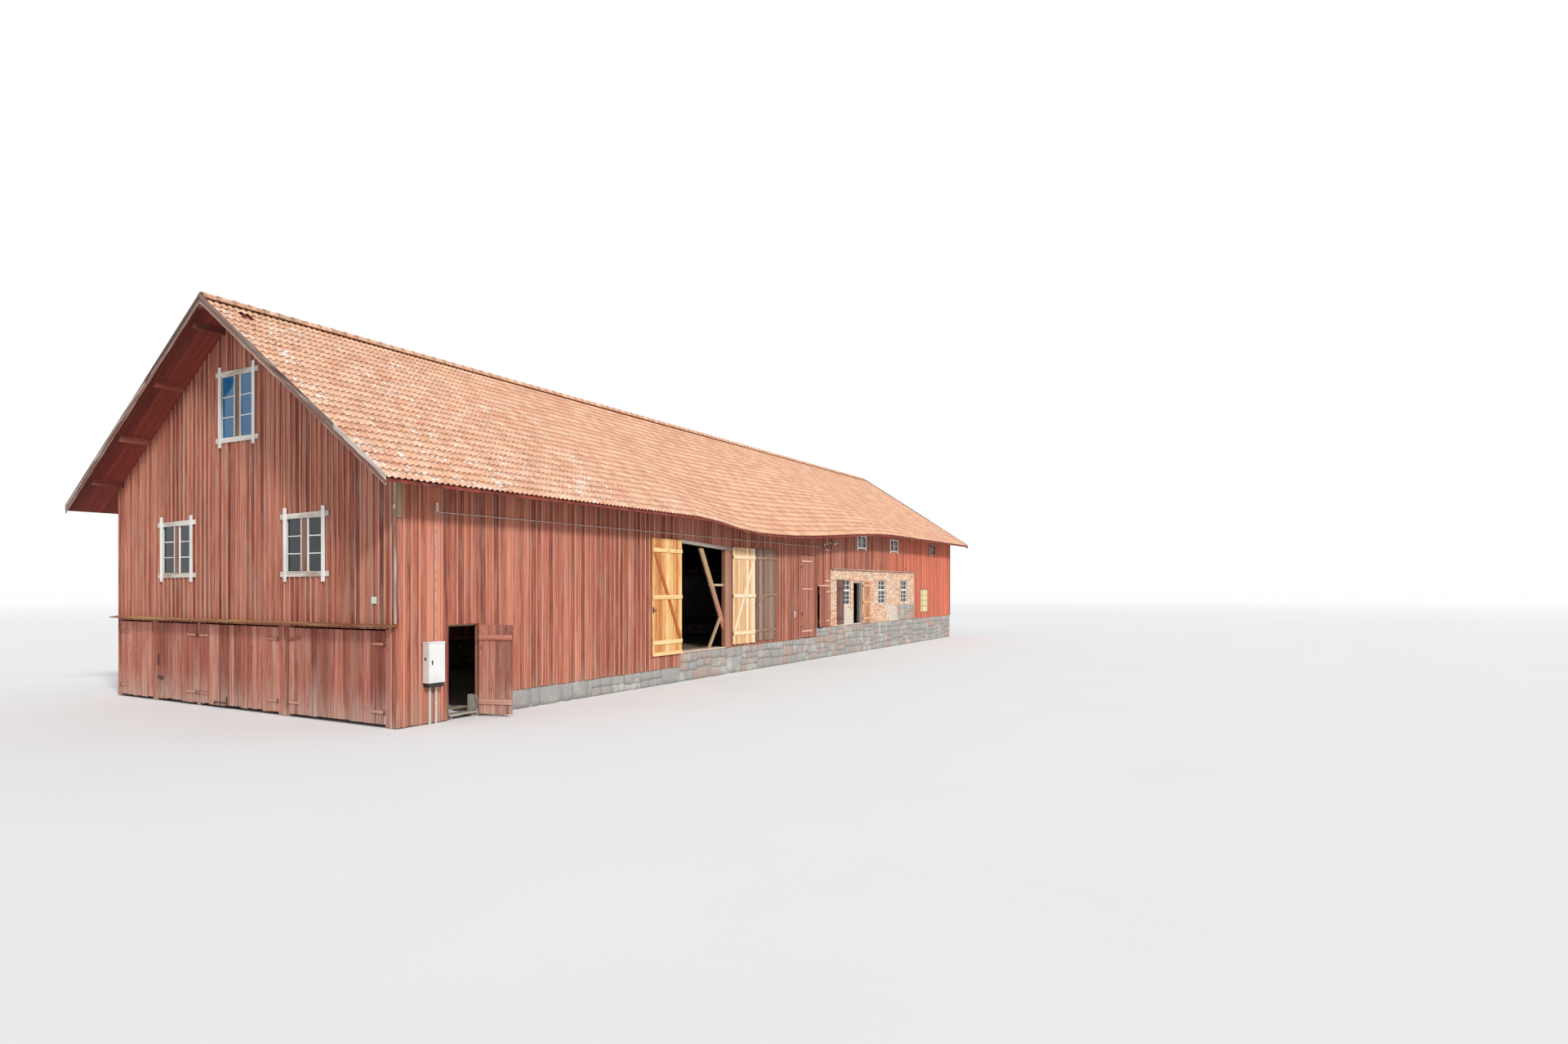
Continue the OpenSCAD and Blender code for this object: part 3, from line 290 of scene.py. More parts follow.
stone_material, s, here = new_material("field_stone")
tone = s.node("ShaderNodeAttribute", output="Fac", attribute_name="tone")
speckle, blotch = here.noise(38.0, 4.0), here.noise(2.3)
granite = speckle.mix((0.20, 0.19, 0.18), (0.46, 0.44, 0.41))
pinkish = tone.step(0.55, 0.9).mix(granite, (0.40, 0.29, 0.24))
weathered = (blotch.step(0.5, 0.68) * 0.6).mix(pinkish, (0.55, 0.53, 0.46))
coat(s, weathered, 0.86, height=speckle + blotch * 2.0, bump=0.6, depth=0.01)

mortar_material, s, here = new_material("lime_mortar")
grit, damp = here.noise(55.0, 5.0), here.noise(1.1)
pale = grit.mix((0.40, 0.37, 0.32), (0.58, 0.55, 0.48))
coat(s, (damp.step(0.45, 0.7) * 0.5).mix(pale, (0.27, 0.25, 0.21)), 0.92, height=grit, depth=0.006)


def stone_rows(length, height, dice):
    """Stones as (along, up, width, height) in a wall's face: stretches of wall, each parted into
    uneven courses and those into stones."""
    rows, start = [], 0.0
    while start < length - 0.01:
        end = start + dice.uniform(*STRETCH_LEN)
        end = length if end > length - SHORT_STRETCH else end
        courses = max(1, round(height / dice.uniform(*COURSE_H)))
        shares = [dice.uniform(*COURSE_SHARE) for _ in range(courses)]
        z = 0.0
        for share in shares:
            course = height * share / sum(shares)
            along = start
            while along < end - 0.01:
                right = along + course * dice.uniform(*STONE_SHAPE)
                right = end if right > end - SHORT_STONE else right
                rows.append(((along + right) / 2, z + course / 2, right - along, course))
                along = right
            z += course
        start = end
    return rows


def stone_wall(node, steps, axis, side, dice):
    """Stones over a foundation's outer face, and its mortar bed. axis is the way that it runs,
    and steps are its (start, end, top)."""
    rows, beds, across = [], bmesh.new(), 1 - axis
    low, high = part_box(node)
    face = (high if side > 0 else low)[across]
    for start, end, top in steps:
        for along, up, width, tall in stone_rows(end - start, top, dice):
            depth = dice.uniform(*STONE_DEPTH)
            place, size, turn = [0, 0, up], [0, 0, tall * STONE_LAP], [0, 0, 0]
            place[axis], place[across] = start + along, face - side * depth / 2
            size[axis], size[across] = width * STONE_LAP, depth
            turn[across] = dice.uniform(-0.09, 0.09)
            rows.append((place, size, turn, dice.random()))
        bed_low, bed_high = [0, 0, 0], [0, 0, top]
        bed_low[axis], bed_high[axis] = start, end
        bed_low[across], bed_high[across] = low[across], high[across]
        (bed_high if side > 0 else bed_low)[across] -= side * MORTAR_DEPTH
        add_box(beds, bed_low, bed_high)
    mesh = lay_blocks(node, rows, round_block(2, 0.34), stone_material, 0.05, 5.0)
    for vert in mesh.vertices:
        vert.co.z = max(vert.co.z, 0.001)
    place_piece(node + "_rubble", mesh, node)
    bed = mesh_of(beds)
    bed.materials.append(mortar_material)
    place_piece(node + "_rubble_bed", bed, node)


dice = random.Random(3)
for side, node, start in ((-1, "stone_foundation_front", LEFT_X), (1, "stone_foundation_back", BACK_LEFT_X)):
    stone_wall(node, [(start, MAIN_X, SILL_Z), (MAIN_X, BAY_POST_X, THRESH_Z),
                      (BAY_POST_X, END_X, STABLE_Z)], 0, side, dice)
for side, node, top in ((1, "stone_foundation_far", STABLE_Z), (-1, "stone_cross_wall", THRESH_Z),
                        (-1, "stone_step_wall", STABLE_Z)):
    low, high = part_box(node)
    stone_wall(node, [(low.y, high.y, top)], 1, side, dice)

# Boarded walls.
# Sawn pine boards stand edge to edge with a narrow batten nailed over each joint. Red earth
# paint covers them, bleached pink and grey by the sun; the battens' lighter tones are a painted highlight.

BOARD_W, BOARD_T, BATTEN_W, BATTEN_T = 0.20, 0.024, 0.048, 0.018
BOARD_JOINT, POST_W, POST_PITCH = 0.0015, 0.12, 1.9
FOOT_RAIL_H, HEAD_RAIL_H, RAIL_PARTS = 0.12, 0.14, 12
WALL_T, WALL_LEN, WALL_W = 0.15, 2 * END_X, 11.8
FRAME_DEPTH = BATTEN_T + BOARD_T + 0.003
UP = Vector((0, 0, 1))


class Boards:
    """Sawn pieces gathered into one mesh, each with its grain and tone."""

    def __init__(self, seed):
        self.dice = random.Random(seed)
        self.points, self.faces, self.grain, self.tones = [], [], [], []

    def add(self, outline, depth, tone=None, shift=None):
        """Adds a flat piece from its front outline, which starts with the edge across the grain,
        and the vector from its front to its back."""
        outline = [Vector(p) for p in outline]
        across = (outline[1] - outline[0]).normalized()
        along = (outline[-1] - outline[0]).normalized()
        across = (across - along * across.dot(along)).normalized()
        inward = along.cross(across)
        shift = shift or [self.dice.uniform(0, 50) for _ in range(3)]
        tone = self.dice.random() if tone is None else tone
        first, count = len(self.points), len(outline)
        corners = outline + [p + depth for p in outline]
        self.points += corners
        self.faces.append(tuple(range(first, first + count)))
        self.faces.append(tuple(reversed(range(first + count, first + 2 * count))))
        for k in range(count):
            n = (k + 1) % count
            self.faces.append((first + k, first + count + k, first + count + n, first + n))
        self.grain += [(p.dot(along) + shift[0], p.dot(across) + shift[1], p.dot(inward) + shift[2])
                       for p in corners]
        self.tones += [tone] * (2 * count)

    def piece(self, name, material, slot, replaced="", body="barn", turn=None):
        mesh = bpy.data.meshes.new(name)
        mesh.from_pydata(self.points, [], self.faces)
        mesh.attributes.new("grain", "FLOAT_VECTOR", "POINT").data.foreach_set(
            "vector", np.array(self.grain, float).ravel())
        mesh.attributes.new("tone", "FLOAT", "POINT").data.foreach_set("value", self.tones)
        mesh.materials.append(material)
        if turn:
            mesh.transform(turn)
        place_piece(name, outward(mesh), replaced, body)


class Wall:
    """A wall's outer face, by how far along, how high and how far out."""

    def __init__(self, corner, along, out):
        self.corner, self.along, self.out = Vector(corner), Vector(along), Vector(out)

    def at(self, along, up, out=0.0):
        return self.corner + self.along * along + UP * up + self.out * out

    def flat(self, boards, corners, front, back, **look):
        """An upright piece from its (along, up) corners."""
        boards.add([self.at(*c, front) for c in corners], self.out * (back - front), **look)

    def slab(self, boards, left, right, foot, head, front, back, **look):
        """An upright board with level ends."""
        self.flat(boards, [(left, foot), (right, foot), (right, head), (left, head)], front, back, **look)

    def rail(self, boards, left, right, foot, head, front, back, **look):
        """A level board, with its grain along the wall."""
        self.flat(boards, [(left, foot), (left, head), (right, head), (right, foot)], front, back, **look)

    def bar(self, boards, start, end, width, front, back, **look):
        """A slanting board between two (along, up) places."""
        start, end = Vector(start), Vector(end)
        lean = (end - start).normalized() * width / 2
        side = Vector((lean.y, -lean.x))
        self.flat(boards, [start - side, start + side, end + side, end - side], front, back, **look)

    def lying(self, boards, ends, inner, outer, thick, **look):
        """A lying board between two ends of (along, inner height, outer height)."""
        (a, a_in, a_out), (b, b_in, b_out) = ends
        boards.add([self.at(a, a_in, inner), self.at(a, a_out, outer), self.at(b, b_out, outer),
                    self.at(b, b_in, inner)], -UP * thick, **look)


def uncut(left, right, foot, head, holes):
    """The parts of an upright strip that its openings leave standing."""
    edges = sorted({left, right, *(x for hole in holes for x in hole[:2] if left < x < right)})
    for a, b in zip(edges, edges[1:]):
        middle = (a + b) / 2
        spans = [(foot, head)]
        for start, end, low, high in holes:
            if start < middle < end:
                spans = [(spans[0][0], lambda _, z=low: z), (lambda _, z=high: z, spans[-1][1])]
        for low, high in spans:
            if high(middle) - low(middle) > 0.01:
                yield a, b, low, high


def board_up(boards, wall, start, end, foot, head, holes=(), battens=True):
    """Boards and battens on a stretch of wall, cut round its openings."""
    count = max(1, round((end - start) / BOARD_W))
    step = (end - start) / count
    dice = boards.dice
    for k in range(count):
        left, right = start + k * step, start + (k + 1) * step
        look = {"tone": dice.uniform(0.0, 0.8), "shift": [dice.uniform(0, 50) for _ in range(3)]}
        face = -BATTEN_T - dice.uniform(0, 0.003)
        drop = dice.uniform(0, 0.014)
        for a, b, low, high in uncut(left + BOARD_JOINT, right - BOARD_JOINT, foot, head, holes):
            corners = [(a, low(a) + drop), (b, low(b) + drop), (b, high(b)), (a, high(a))]
            wall.flat(boards, corners, face, face - BOARD_T, **look)
        if not battens or not k:
            continue
        centre = left + dice.uniform(-0.008, 0.008)
        half = BATTEN_W * dice.uniform(0.42, 0.56)
        lean = dice.uniform(-0.006, 0.006)
        drop = dice.uniform(0, 0.02)
        # Battens take the lighter tones, a painted highlight along their raised faces.
        tone = dice.uniform(0.5, 1.0)
        for a, b, low, high in uncut(centre - half, centre + half, foot, head, holes):
            corners = [(a, low(a) + drop), (b, low(b) + drop), (b + lean, high(b)), (a + lean, high(a))]
            wall.flat(boards, corners, 0, -BATTEN_T, tone=tone)


def frame_up(boards, wall, start, end, foot, head, holes=()):
    """Posts and rails behind a stretch of boards."""
    post_w = min(POST_W, end - start)
    count = max(1, round((end - start) / POST_PITCH))
    for k in range(count + 1 if post_w == POST_W else 1):
        left = start + k * (end - start - post_w) / count
        for a, b, low, high in uncut(left, left + post_w, foot, head, holes):
            corners = [(a, low(a)), (b, low(b)), (b, high(b)), (a, high(a))]
            wall.flat(boards, corners, -FRAME_DEPTH, -WALL_T)
    start, end = start + 0.002, end - 0.002
    face = -FRAME_DEPTH - 0.001
    cuts = [start + k * (end - start) / RAIL_PARTS for k in range(RAIL_PARTS + 1)]
    for a, b in zip(cuts, cuts[1:]):
        for under, over in ((foot, lambda x: foot(x) + FOOT_RAIL_H), (lambda x: head(x) - HEAD_RAIL_H, head)):
            middle = (a + b) / 2
            if not any(x0 < b and x1 > a and z0 < over(middle) and z1 > under(middle)
                       for x0, x1, z0, z1 in holes):
                corners = [(a, under(a)), (a, over(a)), (b, over(b)), (b, under(b))]
                wall.flat(boards, corners, face, face - (WALL_T - FRAME_DEPTH) * 0.95)


def tint(red, green, blue):
    """A colour from the screen's 0 to 255 scale, for a shader."""
    shares = (level / 255 for level in (red, green, blue))
    return tuple(s / 12.92 if s <= 0.04045 else ((s + 0.055) / 1.055) ** 2.4 for s in shares)


def wood(name, *shades, wear=0.45, bleach=None, knots=0.0, along_x=False, roughness=0.82,
         relief=0.5, fresh=(), contrast=1.0):
    """Sawn wood of dark, middle, light and worn shades: fibres along each board, boards of unlike
    tone and worn patches. bleach gives the heights between which a foot turns pale, and fresh
    the places along the barn between which paint turns brighter."""
    made, s, here = new_material(name)
    dark, middle, light, worn = (tint(*shade) for shade in shades)
    g = here if along_x else s.node("ShaderNodeAttribute", output="Vector", attribute_name="grain")
    tone = s.node("ShaderNodeAttribute", output="Fac", attribute_name="tone")
    fibre = g.stretch(1.3, 60, 60).noise(1.0, 4.0)
    band = g.stretch(0.24, 15, 15).noise(1.0)
    patch = g.stretch(0.6, 2.6, 2.6).noise(1.0)
    depth = band * 0.45 + tone * 0.26 + fibre * 0.42
    depth = (depth - 0.52) * contrast + 0.52
    colour = depth.step(0.30, 0.62).mix(dark, middle)
    colour = (depth + fibre * 0.2).step(0.62, 0.92).mix(colour, light)
    colour = ((patch + fibre * 0.35).step(0.62, 0.86) * wear).mix(colour, worn)
    for start, end, bright in fresh:
        reach = here.axis("X") + patch * 3.0
        colour = (reach.step(start, end) * depth.step(0.34, 0.78)).mix(colour, tint(*bright))
    if knots:
        eye = s.node("ShaderNodeTexVoronoi", {"Vector": g.stretch(2.1, 7, 7), "Scale": 1.0},
                     output="Distance", feature="F1")
        colour = (eye.step(0.17, 0.09) * knots).mix(colour, dark)
    if bleach:
        pale = (here.axis("Z") + patch * -0.5 + tone * 0.25).step(*bleach)
        colour = (pale * (fibre + band * 0.5).step(0.55, 0.95)).mix(colour, worn)
    coat(s, colour, roughness, height=fibre + band * 0.6, bump=relief, depth=0.004)
    return made


RED_DARK, RED_LIGHT, RED_WORN = (98, 44, 34), (210, 150, 124), (156, 126, 109)
gable_red = wood("gable_red", RED_DARK, (173, 95, 73), RED_LIGHT, (166, 134, 116), contrast=1.4)
red_boards = wood("red_boards", RED_DARK, (166, 88, 65), RED_LIGHT, RED_WORN, bleach=(0.9, -0.35),
                  contrast=1.15, fresh=((-9.0, -18.0, (206, 134, 108)), (6.5, 14.5, (226, 126, 97))))

EAVE_Z, EAVE_SAG, EAVE_RISE, EAVE_Y = 5.24, 0.30, 0.60, 6.75
RIDGE_Z, TILE_T, SHEATH_T = 9.93, 0.10, 0.03
stations = [-0.85] + [10.3 + k * 16.7 / 14 for k in range(15)] + [38.85]


def smooth_step(t):
    t = min(1.0, max(0.0, t))
    return t * t * (3 - 2 * t)


eaves = [EAVE_Z - EAVE_SAG * smooth_step((p - 10.3) / 3.6) + EAVE_RISE * smooth_step((p - 14.5) / 12.5)
         for p in stations]


def roof_z(x, y):
    """Height of the tiles' surface, which waves with the eave."""
    eave = float(np.interp(x + WALL_LEN / 2, stations, eaves))
    return eave + (RIDGE_Z - eave) * (1 - abs(y) / EAVE_Y)


def wall_top(place):
    """Underside of the roof boards over the long walls."""
    return roof_z(place - WALL_LEN / 2, WALL_W / 2) - TILE_T - SHEATH_T - 0.004


def gable_top(x):
    """The same over a gable."""
    return lambda place: roof_z(x, place - WALL_W / 2) - TILE_T - SHEATH_T - 0.004


def level(z):
    return lambda _: z


FACE_Y = WALL_W / 2
front = Wall((-END_X, -FACE_Y, 0), (1, 0, 0), (0, -1, 0))
back = Wall((-END_X, FACE_Y, 0), (1, 0, 0), (0, 1, 0))
near_gable = Wall((-END_X, -FACE_Y, 0), (0, 1, 0), (-1, 0, 0))
far_gable = Wall((END_X, -FACE_Y, 0), (0, 1, 0), (1, 0, 0))

LOW_PLACE, LEFT_PLACE, MAIN_PLACE, MIDDLE_PLACE = 1.35, 2.21, 10.25, 13.30
RED_PLACE, BAY_POST, BAY_PLACE, BAY_JAMB = 18.56, 19.93, 20.03, 21.18
BRICK_PLACE, FAR_PLACE, BRICK_TOP = 21.28, 31.78, 3.78
LINTEL_H, MAIN_HEAD, LINTEL_FALL = 0.11, 4.43, math.tan(math.radians(3))


def lintel_z(place):
    return MAIN_HEAD - (place - MAIN_PLACE) * LINTEL_FALL


def over_lintel(place):
    return lintel_z(place) + LINTEL_H


LOFT_LEFTS, LOFT_W, LOFT_Z, LOFT_H = (24.13, 28.23, 34.18), 1.0, 4.82, 0.56
TALL_WINDOW = (32.73, 33.96, 1.60, 2.90)
GABLE_WINDOWS, GABLE_WINDOW_W = ((3.225, 3.34, 1.31), (8.73, 3.34, 1.31), (5.955, 6.67, 1.60)), 1.43
loft_holes = [(x, x + LOFT_W, LOFT_Z, LOFT_Z + LOFT_H) for x in LOFT_LEFTS]
gable_holes = [(mid - GABLE_WINDOW_W / 2, mid + GABLE_WINDOW_W / 2, z, z + tall)
               for mid, z, tall in GABLE_WINDOWS]
front_feet = [(0, level(0.02)), (LOW_PLACE, level(2.16)), (LEFT_PLACE, level(SILL_Z)),
              (MAIN_PLACE, over_lintel), (MIDDLE_PLACE, level(THRESH_Z)), (RED_PLACE, level(4.33)),
              (BAY_POST, level(STABLE_Z)), (BAY_PLACE, level(3.06)), (BAY_JAMB, level(STABLE_Z)),
              (BRICK_PLACE, level(BRICK_TOP)), (FAR_PLACE, level(STABLE_Z))]
back_feet = [(0, level(0.02)), (LOW_PLACE, level(SILL_Z)), (MAIN_PLACE, level(THRESH_Z)),
             (BAY_POST, level(STABLE_Z)), (BRICK_PLACE, level(BRICK_TOP)), (FAR_PLACE, level(STABLE_Z))]
FRONT_NODES = ("front_wall_corner front_wall_left front_wall_middle walls_over_doorways "
               "front_wall_hay_loft front_wall_far")
LONG_INSET, GABLE_INSET = FRAME_DEPTH + 0.002, WALL_T + 0.001
for name, wall, feet, length, head, holes, inset, paint, replaced in (
        ("front_wall", front, front_feet, WALL_LEN, wall_top, loft_holes + [TALL_WINDOW], LONG_INSET,
         red_boards, FRONT_NODES),
        ("back_wall", back, back_feet, WALL_LEN, wall_top, loft_holes[::2], LONG_INSET, red_boards,
         "back_wall"),
        ("near_gable", near_gable, [(0, level(2.11))], WALL_W, gable_top(-END_X), gable_holes, GABLE_INSET,
         gable_red, "gable_wall_near"),
        ("far_gable", far_gable, [(0, level(STABLE_Z))], WALL_W, gable_top(END_X), gable_holes, GABLE_INSET,
         gable_red, "gable_wall_far")):
    boards, timbers = Boards(11), Boards(12)
    for (start, foot), (end, _) in zip(feet, feet[1:] + [(length, None)]):
        board_up(boards, wall, start, end, foot, head, holes)
        frame_up(timbers, wall, max(start, inset), min(end, length - inset), foot, head, holes)
    boards.piece(name + "_boards", paint, "red_wood", replaced)
    timbers.piece(name + "_frame", red_boards, "red_wood", replaced)

# Roof boards.
# Boards run from ridge to eave over the purlins and carry the tile battens. From below, at the
# verges and the eaves, they are coloured a darker, duller red than the walls.

SHEATH_W, VERGE_X = 0.169, 19.85
soffit_wood = wood("soffit_wood", (78, 28, 21), (124, 46, 34), (150, 68, 52), (112, 66, 50), wear=0.25)
for side, node in ((-1, "roof_boards_front"), (1, "roof_boards_back")):
    boards = Boards(21 + side)
    count = round(2 * VERGE_X / SHEATH_W)
    step = 2 * VERGE_X / count
    for k in range(count):
        a = -VERGE_X + k * step
        b = a + step - 0.002
        fall = boards.dice.uniform(0, 0.004)
        boards.add([(x, side * y, roof_z(x, y) - TILE_T - fall)
                    for x, y in ((a, 0.005), (b, 0.005), (b, EAVE_Y), (a, EAVE_Y))],
                   UP * (fall - SHEATH_T))
    boards.piece(node + "_sawn", soffit_wood, "red_wood", node)

# Clay tiles.
# Double-roll clay tiles hang on battens in straight columns, each course lapped over the one
# below. Lichen has settled near the verge and the eave.

TILE_W, TILE_LEN, TILE_GAUGE, TILE_CLAY, TILE_ROLL = 0.30, 0.385, 0.34, 0.014, 0.046
COLUMNS, COURSES = 132, 24
ROLL_STEPS, UNDER_STEPS = 12, 4
SLIPPED_TILE, SLIPPED_REACH = Vector((-19.27, -0.61)), (0.16, 0.15)


def shell_mesh(upper, under):
    """A closed shell from its two upper and its two under edges, of which the under ones may
    have fewer points."""
    points, edges = [], []
    for edge in (*upper, *under):
        edges.append(range(len(points), len(points) + len(edge)))
        points += edge
    nose, tail, nose_under, tail_under = edges
    faces = [(a[k], a[k + 1], b[k + 1], b[k])
             for a, b in ((nose, tail), (tail_under, nose_under)) for k in range(len(a) - 1)]
    faces += [(*nose_under, *reversed(nose)), (*tail, *reversed(tail_under)),
              (nose[0], tail[0], tail_under[0], nose_under[0]),
              (tail[-1], nose[-1], nose_under[-1], tail_under[-1])]
    mesh = bpy.data.meshes.new("shell")
    mesh.from_pydata(points, [], faces)
    outward(mesh)
    for face in mesh.polygons:
        face.use_smooth = len(face.vertices) == 4
    return mesh


def roll_edge(v, drop, steps):
    """The waved edge of a tile, v up the roof from its nose and dropped below its face."""
    points = []
    for k in range(steps + 1):
        wave = (0.5 + 0.5 * math.cos(4 * math.pi * k / steps)) ** 1.25
        points.append((k / steps * TILE_W, v,
                       (wave - 1) * TILE_ROLL - 0.004 - 2 * TILE_CLAY * v / TILE_GAUGE - drop))
    return points


clay, s, here = new_material("clay_tiles")
tone = s.node("ShaderNodeAttribute", output="Fac", attribute_name="tone")
x_place, z_place = here.axis("X"), here.axis("Z")
fine, broad, bloom = here.noise(26.0, 4.0), here.noise(0.55, 4.0), here.noise(2.6, 4.0, 0.6)
spots, grains = here.noise(13.0, 5.0, 0.66), here.noise(21.0, 4.0, 0.6)
moss = here.stretch(1.6, 0.8, 0.8).noise(2.9, 3.0, 0.5)
aged = (x_place + z_place * 0.9 + broad * 7.0).step(4.0, -9.0)
cluster = (here.noise(0.85, 2.0) + z_place.step(7.0, 5.5) * 0.1).step(0.44, 0.64)
colour = (tone * 0.55 + fine * 0.8).step(0.1, 1.25).mix(tint(210, 150, 118), tint(240, 198, 166))
colour = (tone.step(0.93, 0.97) * 0.4).mix(colour, tint(176, 112, 84))
film = (spots + bloom * 0.5).step(0.72, 0.90)
colour = (film * (0.15 + aged * 0.55)).mix(colour, tint(228, 204, 182))
lichen = (bloom * 0.6 + spots * 0.7 + cluster * 0.06).step(0.765, 0.81)
colour = (lichen * (aged * (0.25 + cluster * 0.75))).mix(colour, tint(242, 234, 226))
# Moss thickens towards the ridge; the extra brown from just under the ridge tiles upward, ridge tiles
# included, is painted shade along the ridge.
near_ridge_moss_and_shade = z_place.step(7.4, 9.9) * 0.035 + z_place.step(9.80, 9.86) * 0.10
moss_and_ridge_shade = (moss * 0.5 + grains * 0.8 + near_ridge_moss_and_shade).step(0.71, 0.79)
colour = (moss_and_ridge_shade * (0.15 + aged * 0.55)).mix(colour, tint(148, 112, 84))
coat(s, colour, 0.88, height=fine + spots, bump=0.45, depth=0.006)

slope_len = math.hypot(EAVE_Y, RIDGE_Z - EAVE_Z)
course_share = (1 - (TILE_LEN + 0.03) / slope_len) / (COURSES - 1)
column_w = (2 * VERGE_X - 0.004 - TILE_W) / (COLUMNS - 1)
tile_shape = shell_mesh([roll_edge(v, 0, ROLL_STEPS) for v in (0, TILE_LEN)],
                        [roll_edge(v, TILE_CLAY, UNDER_STEPS) for v in (0, TILE_LEN)])
dice = random.Random(5)
for side, node in ((-1, "roof_tiles_front"), (1, "roof_tiles_back")):
    halves = {"near": [], "far": []}
    for column in range(COLUMNS):
        x = -VERGE_X + 0.002 + column * column_w
        middle = x + TILE_W / 2
        up_slope = Vector((0, -side * EAVE_Y, RIDGE_Z - roof_z(middle, EAVE_Y))).normalized()
        for course in range(COURSES):
            y = (EAVE_Y - 0.018) * (1 - course * course_share)
            nose = Vector((x, side * y, roof_z(middle, y)))
            if side < 0 and all(abs(nose[k] - SLIPPED_TILE[k]) < SLIPPED_REACH[k] for k in (0, 1)):
                continue
            across = Vector((1, 0, (roof_z(middle + 0.1, y) - roof_z(middle - 0.1, y)) * 5)) * -side
            normal = across.cross(up_slope).normalized()
            across = up_slope.cross(normal)
            if side > 0:
                nose.x += TILE_W
            nose.z -= 0.0015 + abs(across.z) * TILE_W / 2
            turn = Matrix((across, up_slope, normal)).transposed()
            turn = turn @ Matrix.Rotation(dice.gauss(0, 0.006), 3, "Z")
            halves["near" if middle < 0 else "far"].append((nose, (1, 1, 1), turn.to_euler(), dice.random()))
    for end, rows in halves.items():
        place_piece(f"{node}_{end}", lay_blocks(node, rows, tile_shape, clay), node)

# Ridge tiles.
# Half-round tiles lie end over end along the ridge, each wide mouth lapped over the narrow end
# of the one before it.

RIDGE_R, RIDGE_LEN, RIDGE_GAUGE, RIDGE_FOOT, RIDGE_STEPS = 0.149, 0.42, 0.36, 9.848, 12


def round_edge(v, radius):
    """The half-round edge of a ridge tile, v along the ridge."""
    turns = [math.pi * k / RIDGE_STEPS for k in range(RIDGE_STEPS + 1)]
    return [(v, -math.cos(turn) * radius, math.sin(turn) * radius) for turn in turns]


dice = random.Random(9)
rows, x = [], -VERGE_X + 0.001
while x + RIDGE_LEN < VERGE_X:
    rows.append(((x, dice.uniform(-0.001, 0.001), RIDGE_FOOT), (1, 1, 1),
                 (0, 0, dice.uniform(-0.002, 0.002)), dice.random()))
    x += RIDGE_GAUGE
ends = ((0.0, RIDGE_R), (RIDGE_LEN, RIDGE_R - 0.022))
ridge_shape = shell_mesh([round_edge(v, radius) for v, radius in ends],
                         [round_edge(v, radius - 0.015) for v, radius in ends])
place_piece("ridge_tiles_clay", lay_blocks("ridge_tiles", rows, ridge_shape, clay),
            "ridge_tiles")

# Bargeboards.
# Two weathered boards close each verge: a ragged upper one laps over a lower one, and a thin
# pale strip edges the foot.

BARGE_H, BARGE_UP, BARGE_X, BARGE_CUTS, BARGE_RAGS = 0.24, 0.02, 19.878, 18, 0.022
verge_grey = wood("verge_grey", (76, 48, 42), (140, 118, 106), (214, 200, 188), (112, 80, 70),
                  wear=0.5, contrast=1.7)
verge_red = wood("verge_red", (92, 52, 42), (140, 88, 72), (176, 138, 122), (134, 118, 108), wear=0.6)


def under_verge(x, side, y, fall):
    """A place in the gable's plane, below the upper edge of its bargeboards."""
    return y * side + WALL_W / 2, roof_z(x, y) + BARGE_UP - fall


for end, x, wall in (("near", -BARGE_X, near_gable), ("far", BARGE_X, far_gable)):
    upper, lower = Boards(31), Boards(32)
    dice = upper.dice
    for side in (-1, 1):
        for boards, cuts, top, foot, front_out, back_out in (
                (upper, (0.003, 2.5, 5.1, EAVE_Y), 0.0, 0.125, 0.878, 0.866),
                (lower, (0.003, 3.4, EAVE_Y), 0.10, BARGE_H - 0.012, 0.866, 0.852),
                (upper, (0.003, 3.0, EAVE_Y), BARGE_H - 0.026, BARGE_H, 0.872, 0.866)):
            for a, b in zip(cuts, cuts[1:]):
                b -= 0.004
                ragged = [under_verge(x, side, a + (b - a) * k / BARGE_CUTS,
                                      foot - dice.uniform(0, BARGE_RAGS) * (0 < k < BARGE_CUTS))
                          for k in range(BARGE_CUTS, -1, -1)]
                upper_ends = [under_verge(x, side, y, top) for y in (a, b)]
                wall.flat(boards, [ragged[-1], *upper_ends, *ragged[:-1]], front_out, back_out)
    node = "bargeboards_" + end
    upper.piece(node + "_upper", verge_grey, "weathered_wood", node)
    lower.piece(node + "_lower", verge_red, "weathered_wood", node)

# Cart bay posts and drip board.
# Boarded posts stand between the six cart doors. A warped, lichened drip board over them throws
# the rain clear of the leaves.

CART_TOP, DRIP_TOP, DRIP_OUT, DRIP_T, DRIP_PARTS = 2.11, 2.229, 0.188, 0.024, 8
DRIP_FALL, DRIP_WARP = 0.028, 0.012
cart_red = wood("cart_red", (100, 46, 36), (170, 90, 70), (210, 150, 128), (206, 182, 164), wear=0.22,
                bleach=(0.9, -0.4), knots=0.6)
drip_wood = wood("drip_wood", (92, 50, 36), (150, 88, 58), (200, 148, 96), (176, 146, 88), wear=0.8)
posts, timbers, drips = Boards(41), Boards(42), Boards(43)
for start, end in ((0.0, 0.38), (3.81, 4.24), (7.635, 7.765), (9.695, 9.965), (11.61, WALL_W)):
    board_up(posts, near_gable, start + 0.001, end - 0.001, level(0.01), level(CART_TOP),
             battens=end - start > 0.3)
    near_gable.slab(timbers, max(start, GABLE_INSET), min(end, WALL_W - GABLE_INSET), 0.005, CART_TOP,
                    -FRAME_DEPTH, -WALL_T)
posts.piece("gable_post_boards", cart_red, "red_wood", "gable_posts")
timbers.piece("gable_post_timbers", cart_red, "red_wood", "gable_posts")
